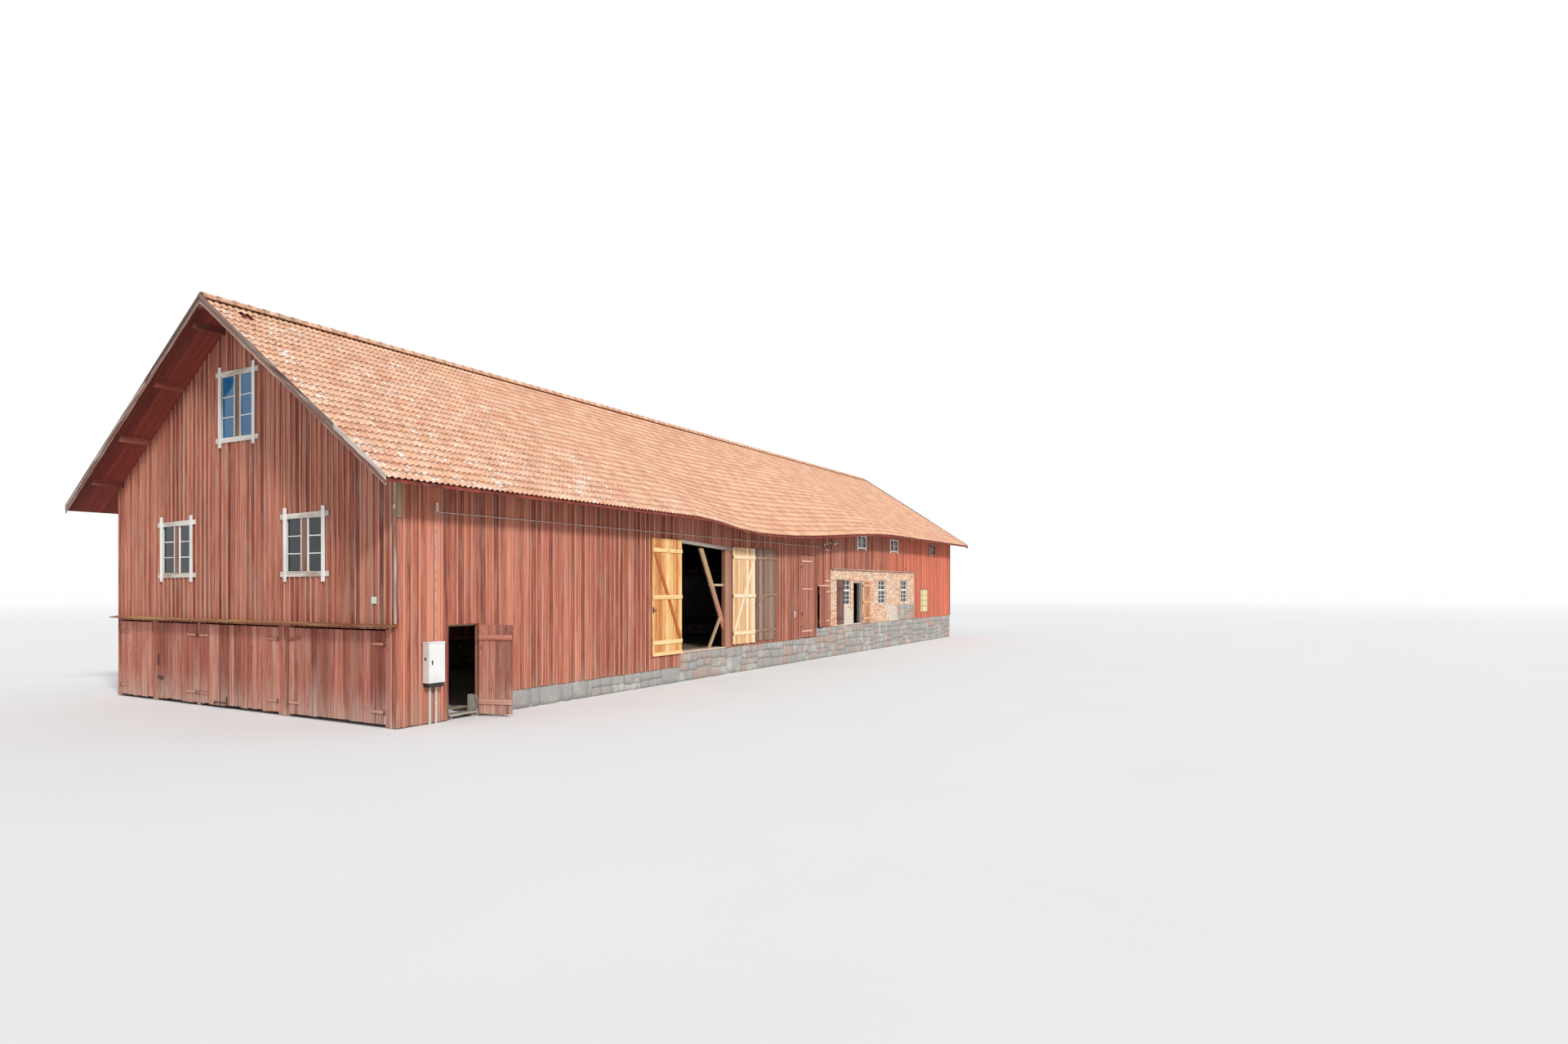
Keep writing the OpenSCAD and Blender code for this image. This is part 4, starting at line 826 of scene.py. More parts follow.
for start, end in ((-0.025, 2.9), (2.91, 6.3), (6.31, 8.9), (8.91, 11.825)):
    look = {"tone": drips.dice.random(), "shift": [drips.dice.uniform(0, 50) for _ in range(3)]}
    fall_start, fall_end, sag = (drips.dice.uniform(0.0, DRIP_WARP) for _ in range(3))
    line = []
    for share in (k / DRIP_PARTS for k in range(DRIP_PARTS + 1)):
        z = DRIP_TOP - fall_start - (fall_end - fall_start) * share - sag * math.sin(math.pi * share)
        line.append((start + (end - start) * share, z, z - DRIP_FALL))
    for ends in zip(line, line[1:]):
        near_gable.lying(drips, ends, 0.001, DRIP_OUT, DRIP_T, **look)
drips.piece("gable_drip_boards", drip_wood, "red_wood", "gable_drip_board")

# Doorway timbers.
# The main doorway has a sagging grey lintel and a weathered post. Inside it old timbers prop the
# lintel, one of them scarfed from two lengths.

POST_PLACE, PROP_IN, PROP_T, PROP_HALF = 12.86, -0.07, 0.06, 0.105
old_grey = wood("old_grey", (96, 86, 76), (158, 146, 132), (204, 194, 180), (136, 112, 96), wear=0.5,
                knots=0.4)
old_red = wood("old_red", (112, 62, 46), (172, 112, 86), (208, 160, 132), (150, 134, 120), wear=0.4,
               knots=0.4)
prop_wood = wood("prop_wood", (112, 84, 56), (174, 138, 98), (214, 186, 148), (160, 120, 96), wear=0.5,
                 knots=0.5)
lintel, post, props, lower_prop = (Boards(seed) for seed in (51, 52, 53, 54))
front.bar(lintel, *((place, lintel_z(place) + LINTEL_H / 2) for place in (MAIN_PLACE, MIDDLE_PLACE)),
          LINTEL_H - 0.001, 0.0, -WALL_T)
lintel.piece("lintel_timber", old_grey, "weathered_wood", "doorway_lintel")
for left, right, depth in ((POST_PLACE, 13.07, 0.0), (13.075, MIDDLE_PLACE, -0.012)):
    front.slab(post, left, right, THRESH_Z, lintel_z(right) - 0.003, depth, -WALL_T)
post.piece("main_post_timber", old_red, "weathered_wood", "door_posts")

prop_head = Vector((POST_PLACE - 1.4, lintel_z(POST_PLACE - 1.4)))
lean = (Vector((POST_PLACE, 1.7)) - prop_head).normalized()
edges = [prop_head + Vector((-lean.y, lean.x)) * PROP_HALF * side for side in (-1, 1)]
prop_top, prop_wall = lintel_z(POST_PLACE), POST_PLACE - 0.002
left_top, right_top = (start + lean * (start.y - prop_top) / -lean.y for start in edges)
left_foot, right_foot = (start + lean * (prop_wall - start.x) / lean.x for start in edges)
left, right = edges
front.flat(props, (left_top, right_top, right + lean * 1.75, left + lean * 1.35), PROP_IN,
           PROP_IN - PROP_T + 0.008, tone=0.5)
front.flat(lower_prop, (left + lean * 1.352, right + lean * 1.752, right_foot, left_foot),
           PROP_IN - 0.006, PROP_IN - PROP_T + 0.002, tone=0.5)
front.bar(props, (POST_PLACE - 0.90, THRESH_Z), (POST_PLACE - 0.17, 2.0), 0.10, PROP_IN - 0.004,
          PROP_IN - PROP_T, tone=0.7)
front.bar(props, (POST_PLACE - 0.85, 3.085), (prop_wall, 3.085), 0.07, PROP_IN - 0.008,
          PROP_IN - PROP_T, tone=1.0)
props.piece("doorway_props_and_rail", prop_wood, "weathered_wood", "doorway_braces")
lower_prop.piece("lower_prop", old_red, "weathered_wood", "doorway_braces")

# Doors.
# Every leaf is boards nailed to ledges, some with a brace, and turns on iron hinges. Leaves that
# fold back lie flat against the wall beside them.

LEAF_T, FOLD_FRONT, FOLD_LEDGE = 0.028, 0.040, 0.069
INSET_AXIS, FOLD_AXIS, KNUCKLE_R, KNUCKLE_H = 0.018, 0.041, 0.012, 0.068
INSET_SHARES, FOLD_SHARES = (0.14, 0.86), (0.115, 0.5, 0.9)
STRAP_H, STRAP_T = 0.058, 0.020
LEDGE_IN, LEDGE_BACK, STRAP_IN = 0.008, -0.057, 0.012
CART_FOOT, CART_HEAD = 0.06, 2.08
BAY_DOOR_AJAR, LOW_DOOR_OPEN = 5, 107
iron, s, here = new_material("door_iron")
rust = here.noise(60.0, 4.0)
coat(s, rust.step(0.45, 0.65).mix(tint(58, 52, 50), tint(104, 66, 48)), 0.7, height=rust, bump=0.4,
     depth=0.002, Metallic=0.35)
pine = wood("fresh_pine", (172, 92, 38), (216, 152, 82), (240, 208, 150), (206, 166, 118), wear=0.25,
            knots=0.8, relief=0.35, contrast=1.7)
pale_pine = wood("pale_pine", (186, 132, 82), (224, 184, 134), (242, 218, 182), (206, 184, 156),
                 wear=0.3, knots=0.7, relief=0.35, contrast=1.5)
grey_leaf_wood = wood("grey_leaf_wood", (92, 68, 56), (134, 104, 86), (166, 138, 118), (122, 108, 96),
                      wear=0.4, knots=0.5)
orange_leaf_wood = wood("orange_leaf_wood", (134, 82, 54), (196, 138, 98), (226, 184, 144),
                        (170, 148, 128), wear=0.35, knots=0.5)
# The wall's red made darker, as painted shade on the red door and the bay door.
door_red = wood("door_red", RED_DARK, (148, 78, 60), (190, 128, 104), RED_WORN, wear=0.35, contrast=1.15)
strap_red = wood("strap_red", (150, 84, 66), (212, 152, 132), (236, 190, 168), RED_WORN, wear=0.2)
pale_handle = wood("pale_handle", (190, 176, 156), (226, 216, 200), (238, 232, 220), (180, 150, 130),
                   wear=0.4)


def door(name, hinge, free, foot, head, widths, paint, slot="red_wood", wall=front, folded=False,
         ledge=0.06, mid_ledge=(), foot_ledge=(), brace=(), ragged=0.006, batten=0.0, strap_wood=None,
         strap_heights=(), strap_len=0.42, strap_tilt=0.0, fittings=(), opened=0):
    """A door leaf at rest, from its hinge to its free edge: boards, ledges, a brace, wooden straps
    over the face, and iron knuckles and fittings. opened turns it out by degrees."""
    boards, straps, form = Boards(sum(map(ord, name))), Boards(sum(map(ord, name)) + 1), bmesh.new()
    dice = boards.dice
    left, right = sorted((hinge, free))
    axis_out = FOLD_AXIS if folded else INSET_AXIS
    heights = [foot + share * (head - foot) for share in (FOLD_SHARES if folded else INSET_SHARES)]
    pivot = wall.at(hinge, 0, axis_out)
    turn = (Matrix.Translation(pivot) @ Matrix.Rotation(math.radians(opened), 4, "Z")
            @ Matrix.Translation(-pivot))
    face = FOLD_FRONT if folded else 0.0
    place = left
    while place < right - 0.01:
        end = place + dice.uniform(*widths)
        end = right if end > right - widths[0] * 0.6 else end
        wall.slab(boards, place + 0.002, end - 0.002, foot + dice.uniform(0, ragged),
                  head - dice.uniform(0, 0.005), face - batten - dice.uniform(0, 0.003), face - LEAF_T)
        if batten and end < right:
            # Battens take lighter tones, a painted highlight along their raised faces.
            wall.slab(boards, end - BATTEN_W / 2, end + BATTEN_W / 2, foot + dice.uniform(0, ragged),
                      head - 0.004, face, face - batten, tone=dice.uniform(0.5, 1))
        place = end
    over, under = (FOLD_LEDGE, FOLD_FRONT + 0.0005) if folded else (-LEAF_T - 0.0005, LEDGE_BACK)
    spans = [(left + LEDGE_IN, right - LEDGE_IN)] * len(heights)
    if mid_ledge:
        spans[1] = mid_ledge
    for z, (a, b) in zip(heights, spans):
        wall.rail(boards, a, b, z - ledge, z + ledge, over, under, tone=0.85)
    if foot_ledge:
        wall.rail(boards, left + LEDGE_IN, right - LEDGE_IN, *foot_ledge, over, under, tone=0.85)
    if brace:
        start, end, width, tone = brace
        wall.bar(boards, start, end, width, over - 0.002, under, tone=tone)
    boards.piece(name + "_boards", paint, slot, name, name, turn)
    if strap_wood:
        inward = 1 if free > hinge else -1
        for z, tilt in zip(strap_heights or heights, (0, strap_tilt, 0)):
            wall.bar(straps, (hinge + inward * STRAP_IN, z), (hinge + inward * strap_len, z + tilt),
                     STRAP_H, STRAP_T, 0.001)
        straps.piece(name + "_straps", strap_wood, "red_wood", name, name, turn)
    for z in heights:
        bmesh.ops.create_cone(form, cap_ends=True, segments=12, radius1=KNUCKLE_R, radius2=KNUCKLE_R,
                              depth=KNUCKLE_H, matrix=Matrix.Translation(wall.at(hinge, z, axis_out)))
    for low, high, a, b, fitting_front, fitting_back in fittings:
        add_box(form, wall.at(a, low, fitting_back), wall.at(b, high, fitting_front))
    mesh = mesh_of(form)
    mesh.transform(turn)
    mesh.materials.append(iron)
    place_piece(name + "_ironwork", outward(mesh), name, name)


LATCH_PLACE, BOLT_PLACE = 9.625, 6.09
CART_FITTINGS = {
    "b": [(0.95, 1.22, LATCH_PLACE - 0.02, LATCH_PLACE + 0.02, 0.02, 0.0),
          (0.62, 0.66, LATCH_PLACE - 0.24, LATCH_PLACE + 0.03, 0.022, 0.0),
          (0.58, 0.62, LATCH_PLACE - 0.24, LATCH_PLACE - 0.08, 0.020, 0.0)],
    "c": [(0.13, 0.155, BOLT_PLACE + 0.30, BOLT_PLACE + 0.86, 0.02, 0.0),
          (0.0605, 0.13, BOLT_PLACE + 0.83, BOLT_PLACE + 0.855, 0.02, 0.0),
          (0.0605, 0.30, BOLT_PLACE + 0.28, BOLT_PLACE + 0.31, 0.02, 0.0)],
}
for letter, hinge, free in (("a", 11.61, 9.975), ("b", 7.765, 9.685), ("c", 7.635, 6.09),
                            ("d", 4.24, 6.07), ("e", 3.81, 2.105), ("f", 0.38, 2.085)):
    door("cart_door_" + letter, hinge, free, CART_FOOT, CART_HEAD, (0.17, 0.28), cart_red,
         wall=near_gable, ragged=0.035, strap_wood=cart_red, strap_tilt=0.05 if letter == "e" else 0.0,
         fittings=CART_FITTINGS.get(letter, ()))
door("main_door_left", MAIN_PLACE, 8.735, 0.905, 4.505, (0.13, 0.21), pine, "new_pine", folded=True,
     foot_ledge=(0.915, 1.02), brace=((MAIN_PLACE - 0.10, 1.399), (8.85, 4.065), 0.12, -0.2),
     ragged=0.01, fittings=[(2.22, 2.40, 8.75, 8.79, 0.062, 0.04), (2.29, 2.32, 8.74, 8.90, 0.066, 0.04)])
door("main_door_right", MIDDLE_PLACE, 14.815, 1.0, 4.41, (0.13, 0.21), pale_pine, "new_pine",
     folded=True, brace=((MIDDLE_PLACE + 0.10, 1.47215), (14.70, 3.989), 0.12, 1.2), ragged=0.01)
door("grey_door", 16.36, 14.88, 1.03, 4.41, (0.15, 0.23), grey_leaf_wood, "weathered_wood",
     folded=True, ledge=0.04, mid_ledge=(15.44, 16.352), brace=((14.98, 2.30), (15.43, 2.72), 0.07, 1.0),
     ragged=0.02)
door("red_door", RED_PLACE, 19.92, 0.95, 4.31, (0.15, 0.22), door_red, ragged=0.02, batten=0.014,
     strap_wood=strap_red, strap_heights=(1.22, 2.93, 4.06), strap_len=0.92,
     fittings=[(1.88, 1.97, 18.60, 18.66, 0.02, 0.0)])
door("bay_door", BAY_JAMB, 20.04, 1.33, 3.04, (0.14, 0.22), door_red, batten=0.014,
     strap_wood=strap_red, opened=BAY_DOOR_AJAR)
door("stable_door", 24.66, 25.62, 1.32, 3.27, (0.14, 0.2), orange_leaf_wood, folded=True, ledge=0.055,
     brace=((24.74, 1.64), (25.54, 2.98), 0.10, 0.6), ragged=0.01)
door("low_door", LEFT_PLACE, 1.36, 0.06, 2.14, (0.15, 0.24), cart_red, strap_wood=cart_red,
     opened=LOW_DOOR_OPEN)

handle, trim = Boards(57), Boards(58)
for left, right, foot, head, front_out, back_out in (
        (17.870, 17.935, 1.80, 2.06, 0.018, 0.0), (17.885, 17.920, 1.84, 1.875, 0.05, 0.018),
        (17.885, 17.920, 1.985, 2.02, 0.05, 0.018), (17.885, 17.920, 1.84, 2.02, 0.07, 0.05)):
    front.slab(handle, left, right, foot, head, front_out, back_out, tone=0.9)
handle.piece("pale_pull_handle", pale_handle, "white_wood")
front.slab(trim, BAY_PLACE + 0.02, BAY_JAMB - 0.02, 3.045, 3.10, 0.03, 0.0)
for z in (3.28, 4.60):
    front.rail(trim, BAY_JAMB - 0.48, BAY_JAMB - 0.02, z - 0.035, z + 0.035, 0.02, 0.0, tone=0.9)
trim.piece("bay_panel_straps", strap_red, "red_wood", "walls_over_doorways")

# Windows.
# White casements with small panes sit in the boarding and the bricks. On the gables they stand
# in pairs beside a boarded post, and their trim crosses like a hash.

SASH_RIM, SASH_IN, SASH_T, BAR_W = 0.045, 0.006, 0.052, 0.024
TRIM_W, TRIM_EAR, TRIM_T, MULLION_HALF = 0.12, 0.19, 0.024, 0.10
STABLE_WINDOWS = ((22.61, 0.80), (26.68, 0.95), (29.73, 0.95))
STABLE_FOOT, STABLE_TALL, STABLE_IN = 2.20, 1.13, -0.06
TRANSOM_SHARE, LOFT_RIM, LOFT_TRIM, BLIND_BOARDS = 0.58, 0.035, 0.04, 5
# Heights between which the glass turns to a painted sky reflection.
SKY_REFLECTION_FROM = (6.3, 6.5)
white_paint = wood("white_paint", (208, 204, 194), (240, 238, 232), (246, 245, 242), (182, 168, 152),
                   wear=0.5, roughness=0.6, relief=0.25)
peeling = wood("peeling_white", (156, 134, 118), (222, 214, 202), (242, 238, 232), (150, 126, 108),
               wear=0.9, roughness=0.7, relief=0.4)
blind_wood = wood("blind_wood", (196, 180, 128), (226, 214, 164), (238, 230, 192), (206, 194, 150),
                  wear=0.3)


def light(boards, wall, left, right, foot, head, columns, rows, out=0.0, rim=SASH_RIM):
    """One glazed light: a frame, with bars that part it into panes."""
    face, rear, half = out - SASH_IN, out - SASH_T, BAR_W / 2
    for a, b in ((left, left + rim), (right - rim, right)):
        wall.slab(boards, a, b, foot, head, face, rear)
    for a, b in ((foot, foot + rim), (head - rim, head)):
        wall.rail(boards, left + rim, right - rim, a, b, face - 0.001, rear)
    for k in range(1, columns):
        middle = left + (right - left) * k / columns
        wall.slab(boards, middle - half, middle + half, foot + rim, head - rim, face - 0.006, rear)
    for k in range(1, rows):
        middle = foot + rim + (head - foot - 2 * rim) * k / rows
        wall.rail(boards, left + rim, right - rim, middle - half, middle + half, face - 0.008, rear)


def gable_window(boards, rails, mullions, wall, mid, foot, height):
    """A pair of lights beside a boarded post, with trim that crosses at the corners."""
    left, right, head = mid - GABLE_WINDOW_W / 2, mid + GABLE_WINDOW_W / 2, foot + height
    for a, b in ((left, mid - MULLION_HALF), (mid + MULLION_HALF, right)):
        light(boards, wall, a, b, foot, head, 1, 3)
    for a, b in ((mid - 0.099, mid - 0.001), (mid + 0.001, mid + 0.099)):
        wall.slab(mullions, a, b, foot, head, -0.003, -0.055)
    left, right, foot, head = left - 0.01, right + 0.01, foot - 0.02, head + 0.02
    for z in (foot, head):
        lean = boards.dice.uniform(-0.02, 0.02)
        wall.bar(rails, (left - TRIM_EAR, z - lean), (right + TRIM_EAR, z + lean), TRIM_W, TRIM_T * 0.5, 0.0)
    for x in (left, right):
        wall.slab(boards, x - TRIM_W / 2, x + TRIM_W / 2, foot - TRIM_EAR + boards.dice.uniform(0, 0.03),
                  head + TRIM_EAR, TRIM_T, TRIM_T * 0.45, tone=boards.dice.uniform(0.5, 1))


def loft_window(boards, wall, left):
    """Two low lights side by side, with plain trim round them."""
    right, middle, head = left + LOFT_W, left + LOFT_W / 2, LOFT_Z + LOFT_H
    for a, b in ((left, middle), (middle, right)):
        light(boards, wall, a, b, LOFT_Z, head, 1, 2, rim=LOFT_RIM)
    for x in (left, right):
        wall.slab(boards, x - LOFT_TRIM, x + LOFT_TRIM, LOFT_Z - 0.12, head + 0.044, 0.022, 0.0)
    for z in (LOFT_Z, head):
        wall.rail(boards, left, right, z - LOFT_TRIM, z + LOFT_TRIM, 0.018, 0.0)


def stable_window(boards, wall, left, width):
    """A light under a transom and a lower one over it, set back in the bricks."""
    transom = STABLE_FOOT + STABLE_TALL * TRANSOM_SHARE
    for foot, head, rows in ((STABLE_FOOT, transom, 3), (transom + 0.001, STABLE_FOOT + STABLE_TALL, 2)):
        light(boards, wall, left, left + width, foot, head, 2, rows, out=STABLE_IN, rim=0.04)


sashes, rails, mullions, old_mullions = (Boards(seed) for seed in (61, 60, 62, 63))
for k, window in enumerate(GABLE_WINDOWS):
    gable_window(sashes, rails, old_mullions if k == 2 else mullions, near_gable, *window)
for boards, name, material, slot in (
        (sashes, "gable_window_sashes", white_paint, "white_wood"),
        (rails, "gable_window_cross_trim", peeling, "white_wood"),
        (mullions, "gable_window_mullions", verge_red, "red_wood"),
        (old_mullions, "top_window_mullion", grey_leaf_wood, "weathered_wood")):
    boards.piece(name, material, slot, "gable_window_frames")

sashes, old_sashes, tall_sashes, blinds = (Boards(seed) for seed in (64, 65, 66, 59))
for window in STABLE_WINDOWS:
    stable_window(sashes, front, *window)
for k, left in enumerate(LOFT_LEFTS):
    loft_window(old_sashes if k == 2 else sashes, front, left)
light(tall_sashes, front, *TALL_WINDOW, 3, 4, rim=0.05)
left, right, foot, head = TALL_WINDOW
blind_w = (right - left - 0.08) / BLIND_BOARDS
for k in range(BLIND_BOARDS):
    place = left + 0.04 + k * blind_w
    front.slab(blinds, place, place + blind_w - 0.003, foot + 0.04, head - 0.04, -0.022, -0.028)
for boards, name, material, slot in (
        (sashes, "front_window_sashes", white_paint, "white_wood"),
        (blinds, "tall_window_blind", blind_wood, "new_pine"),
        (old_sashes, "far_loft_window_sash", old_red, "weathered_wood"),
        (tall_sashes, "tall_window_sash", old_red, "weathered_wood")):
    boards.piece(name, material, slot, "front_window_frames")

sashes, rails, mullions = (Boards(seed) for seed in (67, 69, 68))
for window in GABLE_WINDOWS:
    gable_window(sashes, rails, mullions, far_gable, *window)
stable_window(sashes, back, *STABLE_WINDOWS[0])
for left in LOFT_LEFTS[::2]:
    loft_window(sashes, back, left)
for boards, name, material, slot in (
        (sashes, "rear_window_sashes", white_paint, "white_wood"),
        (rails, "rear_window_cross_trim", peeling, "white_wood"),
        (mullions, "rear_window_mullions", verge_red, "red_wood")):
    boards.piece(name, material, slot, "rear_window_frames")

# The glass is nearly opaque. Its near-black colour is painted shade of the dark inside, and from the top
# gable window up it turns blue, a painted sky reflection; dust clouds both.
glass, s, here = new_material("glass_painted_shade_and_reflection")
dust = here.noise(3.0, 4.0)
dark, blue = dust.mix(tint(8, 12, 14), tint(40, 52, 58)), dust.mix(tint(6, 88, 142), tint(44, 124, 172))
coat(s, here.axis("Z").step(*SKY_REFLECTION_FROM).mix(dark, blue), 0.06, height=here.noise(1.6, 2.0), bump=0.05,
     depth=0.004, Alpha=0.88, IOR=1.5)


def finish_node(name, material):
    """Gives a carried-over piece its material."""
    for place in nodes[name].material_slots:
        place.material = material


finish_node("window_glass", glass)

# Stable of bricks.
# The stable's walls are old yellow and orange bricks in lime mortar, with upright bricks over
# the openings, rubble at the far foot and whitewash.

BRICK_L, MORTAR, COURSE, BRICK_COURSES = 0.25, 0.012, 0.0775, 32
BRICK_T, MORTAR_IN, BRICK_DEPTH = 0.26, 0.008, 0.11
STABLE_DOOR, RUBBLE_FROM, RUBBLE_TOP = (23.70, 24.66, 1.2, 3.26), 29.25, 2.1
window_gaps = [(x, x + w, STABLE_FOOT, STABLE_FOOT + STABLE_TALL) for x, w in STABLE_WINDOWS]


def clipped(x0, x1, z0, z1, gaps):
    """What is left of an upright rectangle outside the gaps."""
    cuts = sorted({x0, x1, *(x for g in gaps for x in g[:2] if x0 < x < x1 and g[2] < z1 and g[3] > z0)})
    for a, b in zip(cuts, cuts[1:]):
        low, high = z0, z1
        for g in gaps:
            if g[0] < (a + b) / 2 < g[1] and g[2] < high and g[3] > low:
                if g[2] > low + 0.001 and (g[3] >= high - 0.001 or g[2] - low >= high - g[3]):
                    high = g[2]
                else:
                    low = g[3]
        if b - a > 0.02 and high - low > 0.012:
            yield a, b, low, high


brick_material, s, here = new_material("old_brick")
tone = s.node("ShaderNodeAttribute", output="Fac", attribute_name="tone")
grit, cloud, blurred = here.noise(45.0, 4.0), here.noise(0.9), here.noise(3.5)
x_place, z_place = here.axis("X"), here.axis("Z")
colour = s.node("ShaderNodeValToRGB", {"Fac": tone + (grit - 0.5) * 0.3}, stops=[
    (0.0, tint(200, 136, 108)), (0.25, tint(226, 168, 134)), (0.6, tint(236, 188, 152)),
    (0.85, tint(240, 208, 170)), (1.0, tint(242, 224, 202))])
washed = (cloud + z_place * -0.28).step(-0.02, -0.14)
by_window = s.math("ABSOLUTE", x_place - 4.0).step(1.3, 0.5)
by_rubble = s.math("ABSOLUTE", x_place - 9.6).step(1.0, 0.4)
low_part = (z_place + cloud).step(2.75, 2.35)
wash = (by_window + by_rubble) * low_part + washed * 0.4 + blurred - 0.5
colour = (wash.step(0.2, 0.9) * (0.5 + grit * 0.6)).mix(colour, tint(224, 214, 198))
coat(s, colour, 0.9, height=grit + tone * 0.4, depth=0.006)


def brick(wall, dice, x0, x1, z0, z1):
    """One brick in a wall's face, as a row for lay_blocks."""
    depth = BRICK_DEPTH - dice.uniform(0, 0.006)
    place = wall.at((x0 + x1) / 2, (z0 + z1) / 2, -depth / 2 - dice.uniform(0, 0.003))
    return place, (x1 - x0, depth, z1 - z0), (0, dice.gauss(0, 0.008), 0), dice.random()


for side, wall, node, gaps in ((-1, front, "brick_wall_front", window_gaps + [STABLE_DOOR]),
                               (1, back, "brick_wall_back", window_gaps[:1])):
    dice = random.Random(71 + side)
    arches = [(x0 - 0.12, x1 + 0.12, z1, z1 + 3 * COURSE) for x0, x1, _, z1 in gaps]
    rubble = [(RUBBLE_FROM, FAR_PLACE, 1.0, RUBBLE_TOP)] if side < 0 else []
    rows = []
    for k in range(BRICK_COURSES):
        z = STABLE_Z + k * COURSE
        x = BRICK_PLACE - (0.131 if k % 2 else 0.0)
        while x < FAR_PLACE:
            length = BRICK_L + dice.uniform(-0.008, 0.008)
            left, right = max(x, BRICK_PLACE + 0.003), min(x + length, FAR_PLACE - 0.003)
            x += length + MORTAR
            if right - left > 0.02:
                rows += [brick(wall, dice, *part) for part in clipped(
                    left, right, z + MORTAR / 2, z + COURSE - MORTAR / 2, gaps + arches + rubble)]
    for x0, x1, z0, z1 in arches:
        count = int((x1 - x0) / COURSE)
        pitch = (x1 - x0) / count
        rows += [brick(wall, dice, x0 + k * pitch + MORTAR / 2, x0 + (k + 1) * pitch - MORTAR / 2,
                       z0 + 0.004, min(z1, BRICK_TOP - 0.004) - 0.008) for k in range(count)]
    mesh = lay_blocks(node, rows, round_block(1, 0.08), brick_material, 0.006, 9.0)
    place_piece(node + "_bricks", mesh, node)
    core = Boards(73)
    cuts = sorted({BRICK_PLACE, FAR_PLACE, *(x for g in gaps for x in g[:2])})
    for a, b in zip(cuts, cuts[1:]):
        inside = [g for g in gaps if g[0] < (a + b) / 2 < g[1]]
        spans = [(inside[0][3], BRICK_TOP), (STABLE_Z, inside[0][2])] if inside else [(STABLE_Z, BRICK_TOP)]
        for low, high in spans:
            if high - low > 0.01:
                wall.slab(core, a, b, low, high, -MORTAR_IN, -BRICK_T)
    core.piece(node + "_mortar", mortar_material, "brick", node)

dice = random.Random(77)
rows = [(front.at(RUBBLE_FROM + along, STABLE_Z + up, -0.065), (width * STONE_LAP, 0.13, tall * STONE_LAP),
         (0, dice.uniform(-0.06, 0.06), 0), dice.random())
        for along, up, width, tall in stone_rows(FAR_PLACE - RUBBLE_FROM, RUBBLE_TOP - STABLE_Z, dice)]
mesh = lay_blocks("rubble_foot", rows, round_block(2, 0.25), stone_material, 0.03, 4.0)
place_piece("stable_rubble_foot", mesh, "brick_wall_front")

LEDGE_Z, LEDGE_OUT, LEDGE_T, LEDGE_FALL = 3.818, 0.088, 0.022, 0.012
pale_wood = wood("pale_wood", (150, 112, 92), (206, 172, 150), (232, 208, 190), (184, 168, 152), wear=0.5)
ledge = Boards(78)
for start, end in ((BRICK_PLACE, 24.0), (24.01, 26.9), (26.91, 29.2), (29.21, FAR_PLACE)):
    low = LEDGE_Z - LEDGE_FALL
    lift = ledge.dice.uniform(0, 0.006)
    front.lying(ledge, ((start, LEDGE_Z, low), (end, LEDGE_Z, low - lift)), 0.001, LEDGE_OUT, LEDGE_T)
for place in (21.5, 23.2, 25.1, 27.0, 28.9, 30.8):
    front.slab(ledge, place, place + 0.07, 3.72, 3.783, 0.05, 0.0, tone=0.05)
ledge.piece("stable_drip_boards", pale_wood, "red_wood", "stable_drip_board")

shutter_wood = wood("shutter_wood", (60, 34, 28), (104, 62, 52), (140, 96, 84), (112, 96, 88), wear=0.4)
shutter = Boards(79)
for k in range(5):
    front.slab(shutter, 21.90 + k * 0.132, 22.028 + k * 0.132, 1.36 + shutter.dice.uniform(0, 0.02), 3.33,
               0.034, 0.012)
for z in (1.62, 2.95):
    front.rail(shutter, 21.92, 22.54, z - 0.05, z + 0.05, 0.056, 0.0345)
shutter.piece("stable_shutter", shutter_wood, "red_wood", "brick_wall_front")

door_frame = Boards(80)
front.slab(door_frame, 24.585, 24.658, STABLE_Z, 3.255, 0.004, -0.12)
front.slab(door_frame, 23.702, 23.76, STABLE_Z, 3.255, -0.05, -0.16)
front.rail(door_frame, 23.765, 24.58, 3.19, 3.255, -0.01, -0.16)
door_frame.piece("stable_door_frame", old_grey, "weathered_wood", "brick_wall_front")

# Purlins, frames and floors.
# Squared purlins and a ridge beam carry the roof on posts and rafters. Their red ends show under
# the verges. The floors, sills and steps are sawn planks.

PURLIN_W, PURLIN_H, PURLIN_X, PURLIN_ROWS = 0.14, 0.15, 19.72, (0.61, 2.38, 4.15, 5.65)
PLANK_W = 0.21
purlin_wood = wood("purlin_wood", (84, 36, 28), (134, 60, 46), (170, 98, 80), (130, 100, 86), wear=0.35,
                   along_x=True)
bare_timber = wood("bare_timber", (66, 52, 42), (112, 92, 74), (150, 130, 108), (100, 90, 80), wear=0.4,
                   along_x=True)
finish_node("ridge_beam", purlin_wood)
finish_node("roof_frames", bare_timber)
cuts = [-PURLIN_X] + [p - WALL_LEN / 2 for p in stations[1:-1]] + [PURLIN_X]
for side, node in ((-1, "purlins_front"), (1, "purlins_back")):
    timbers = Boards(83 + side)
    for middle in PURLIN_ROWS:
        inner, outer = middle - PURLIN_W / 2, middle + PURLIN_W / 2
        for a, b in zip(cuts, cuts[1:]):
            tops = [roof_z(a, y) - TILE_T - SHEATH_T - 0.002 for y in (inner, outer)]
            foot = tops[0] - PURLIN_H
            timbers.add([(a, side * inner, tops[0]), (a, side * inner, foot),
                         (a, side * outer, foot), (a, side * outer, tops[1])],
                        Vector((b - a, 0, roof_z(b, middle) - roof_z(a, middle))))
    timbers.piece(node + "_sawn", purlin_wood, "red_wood", node)

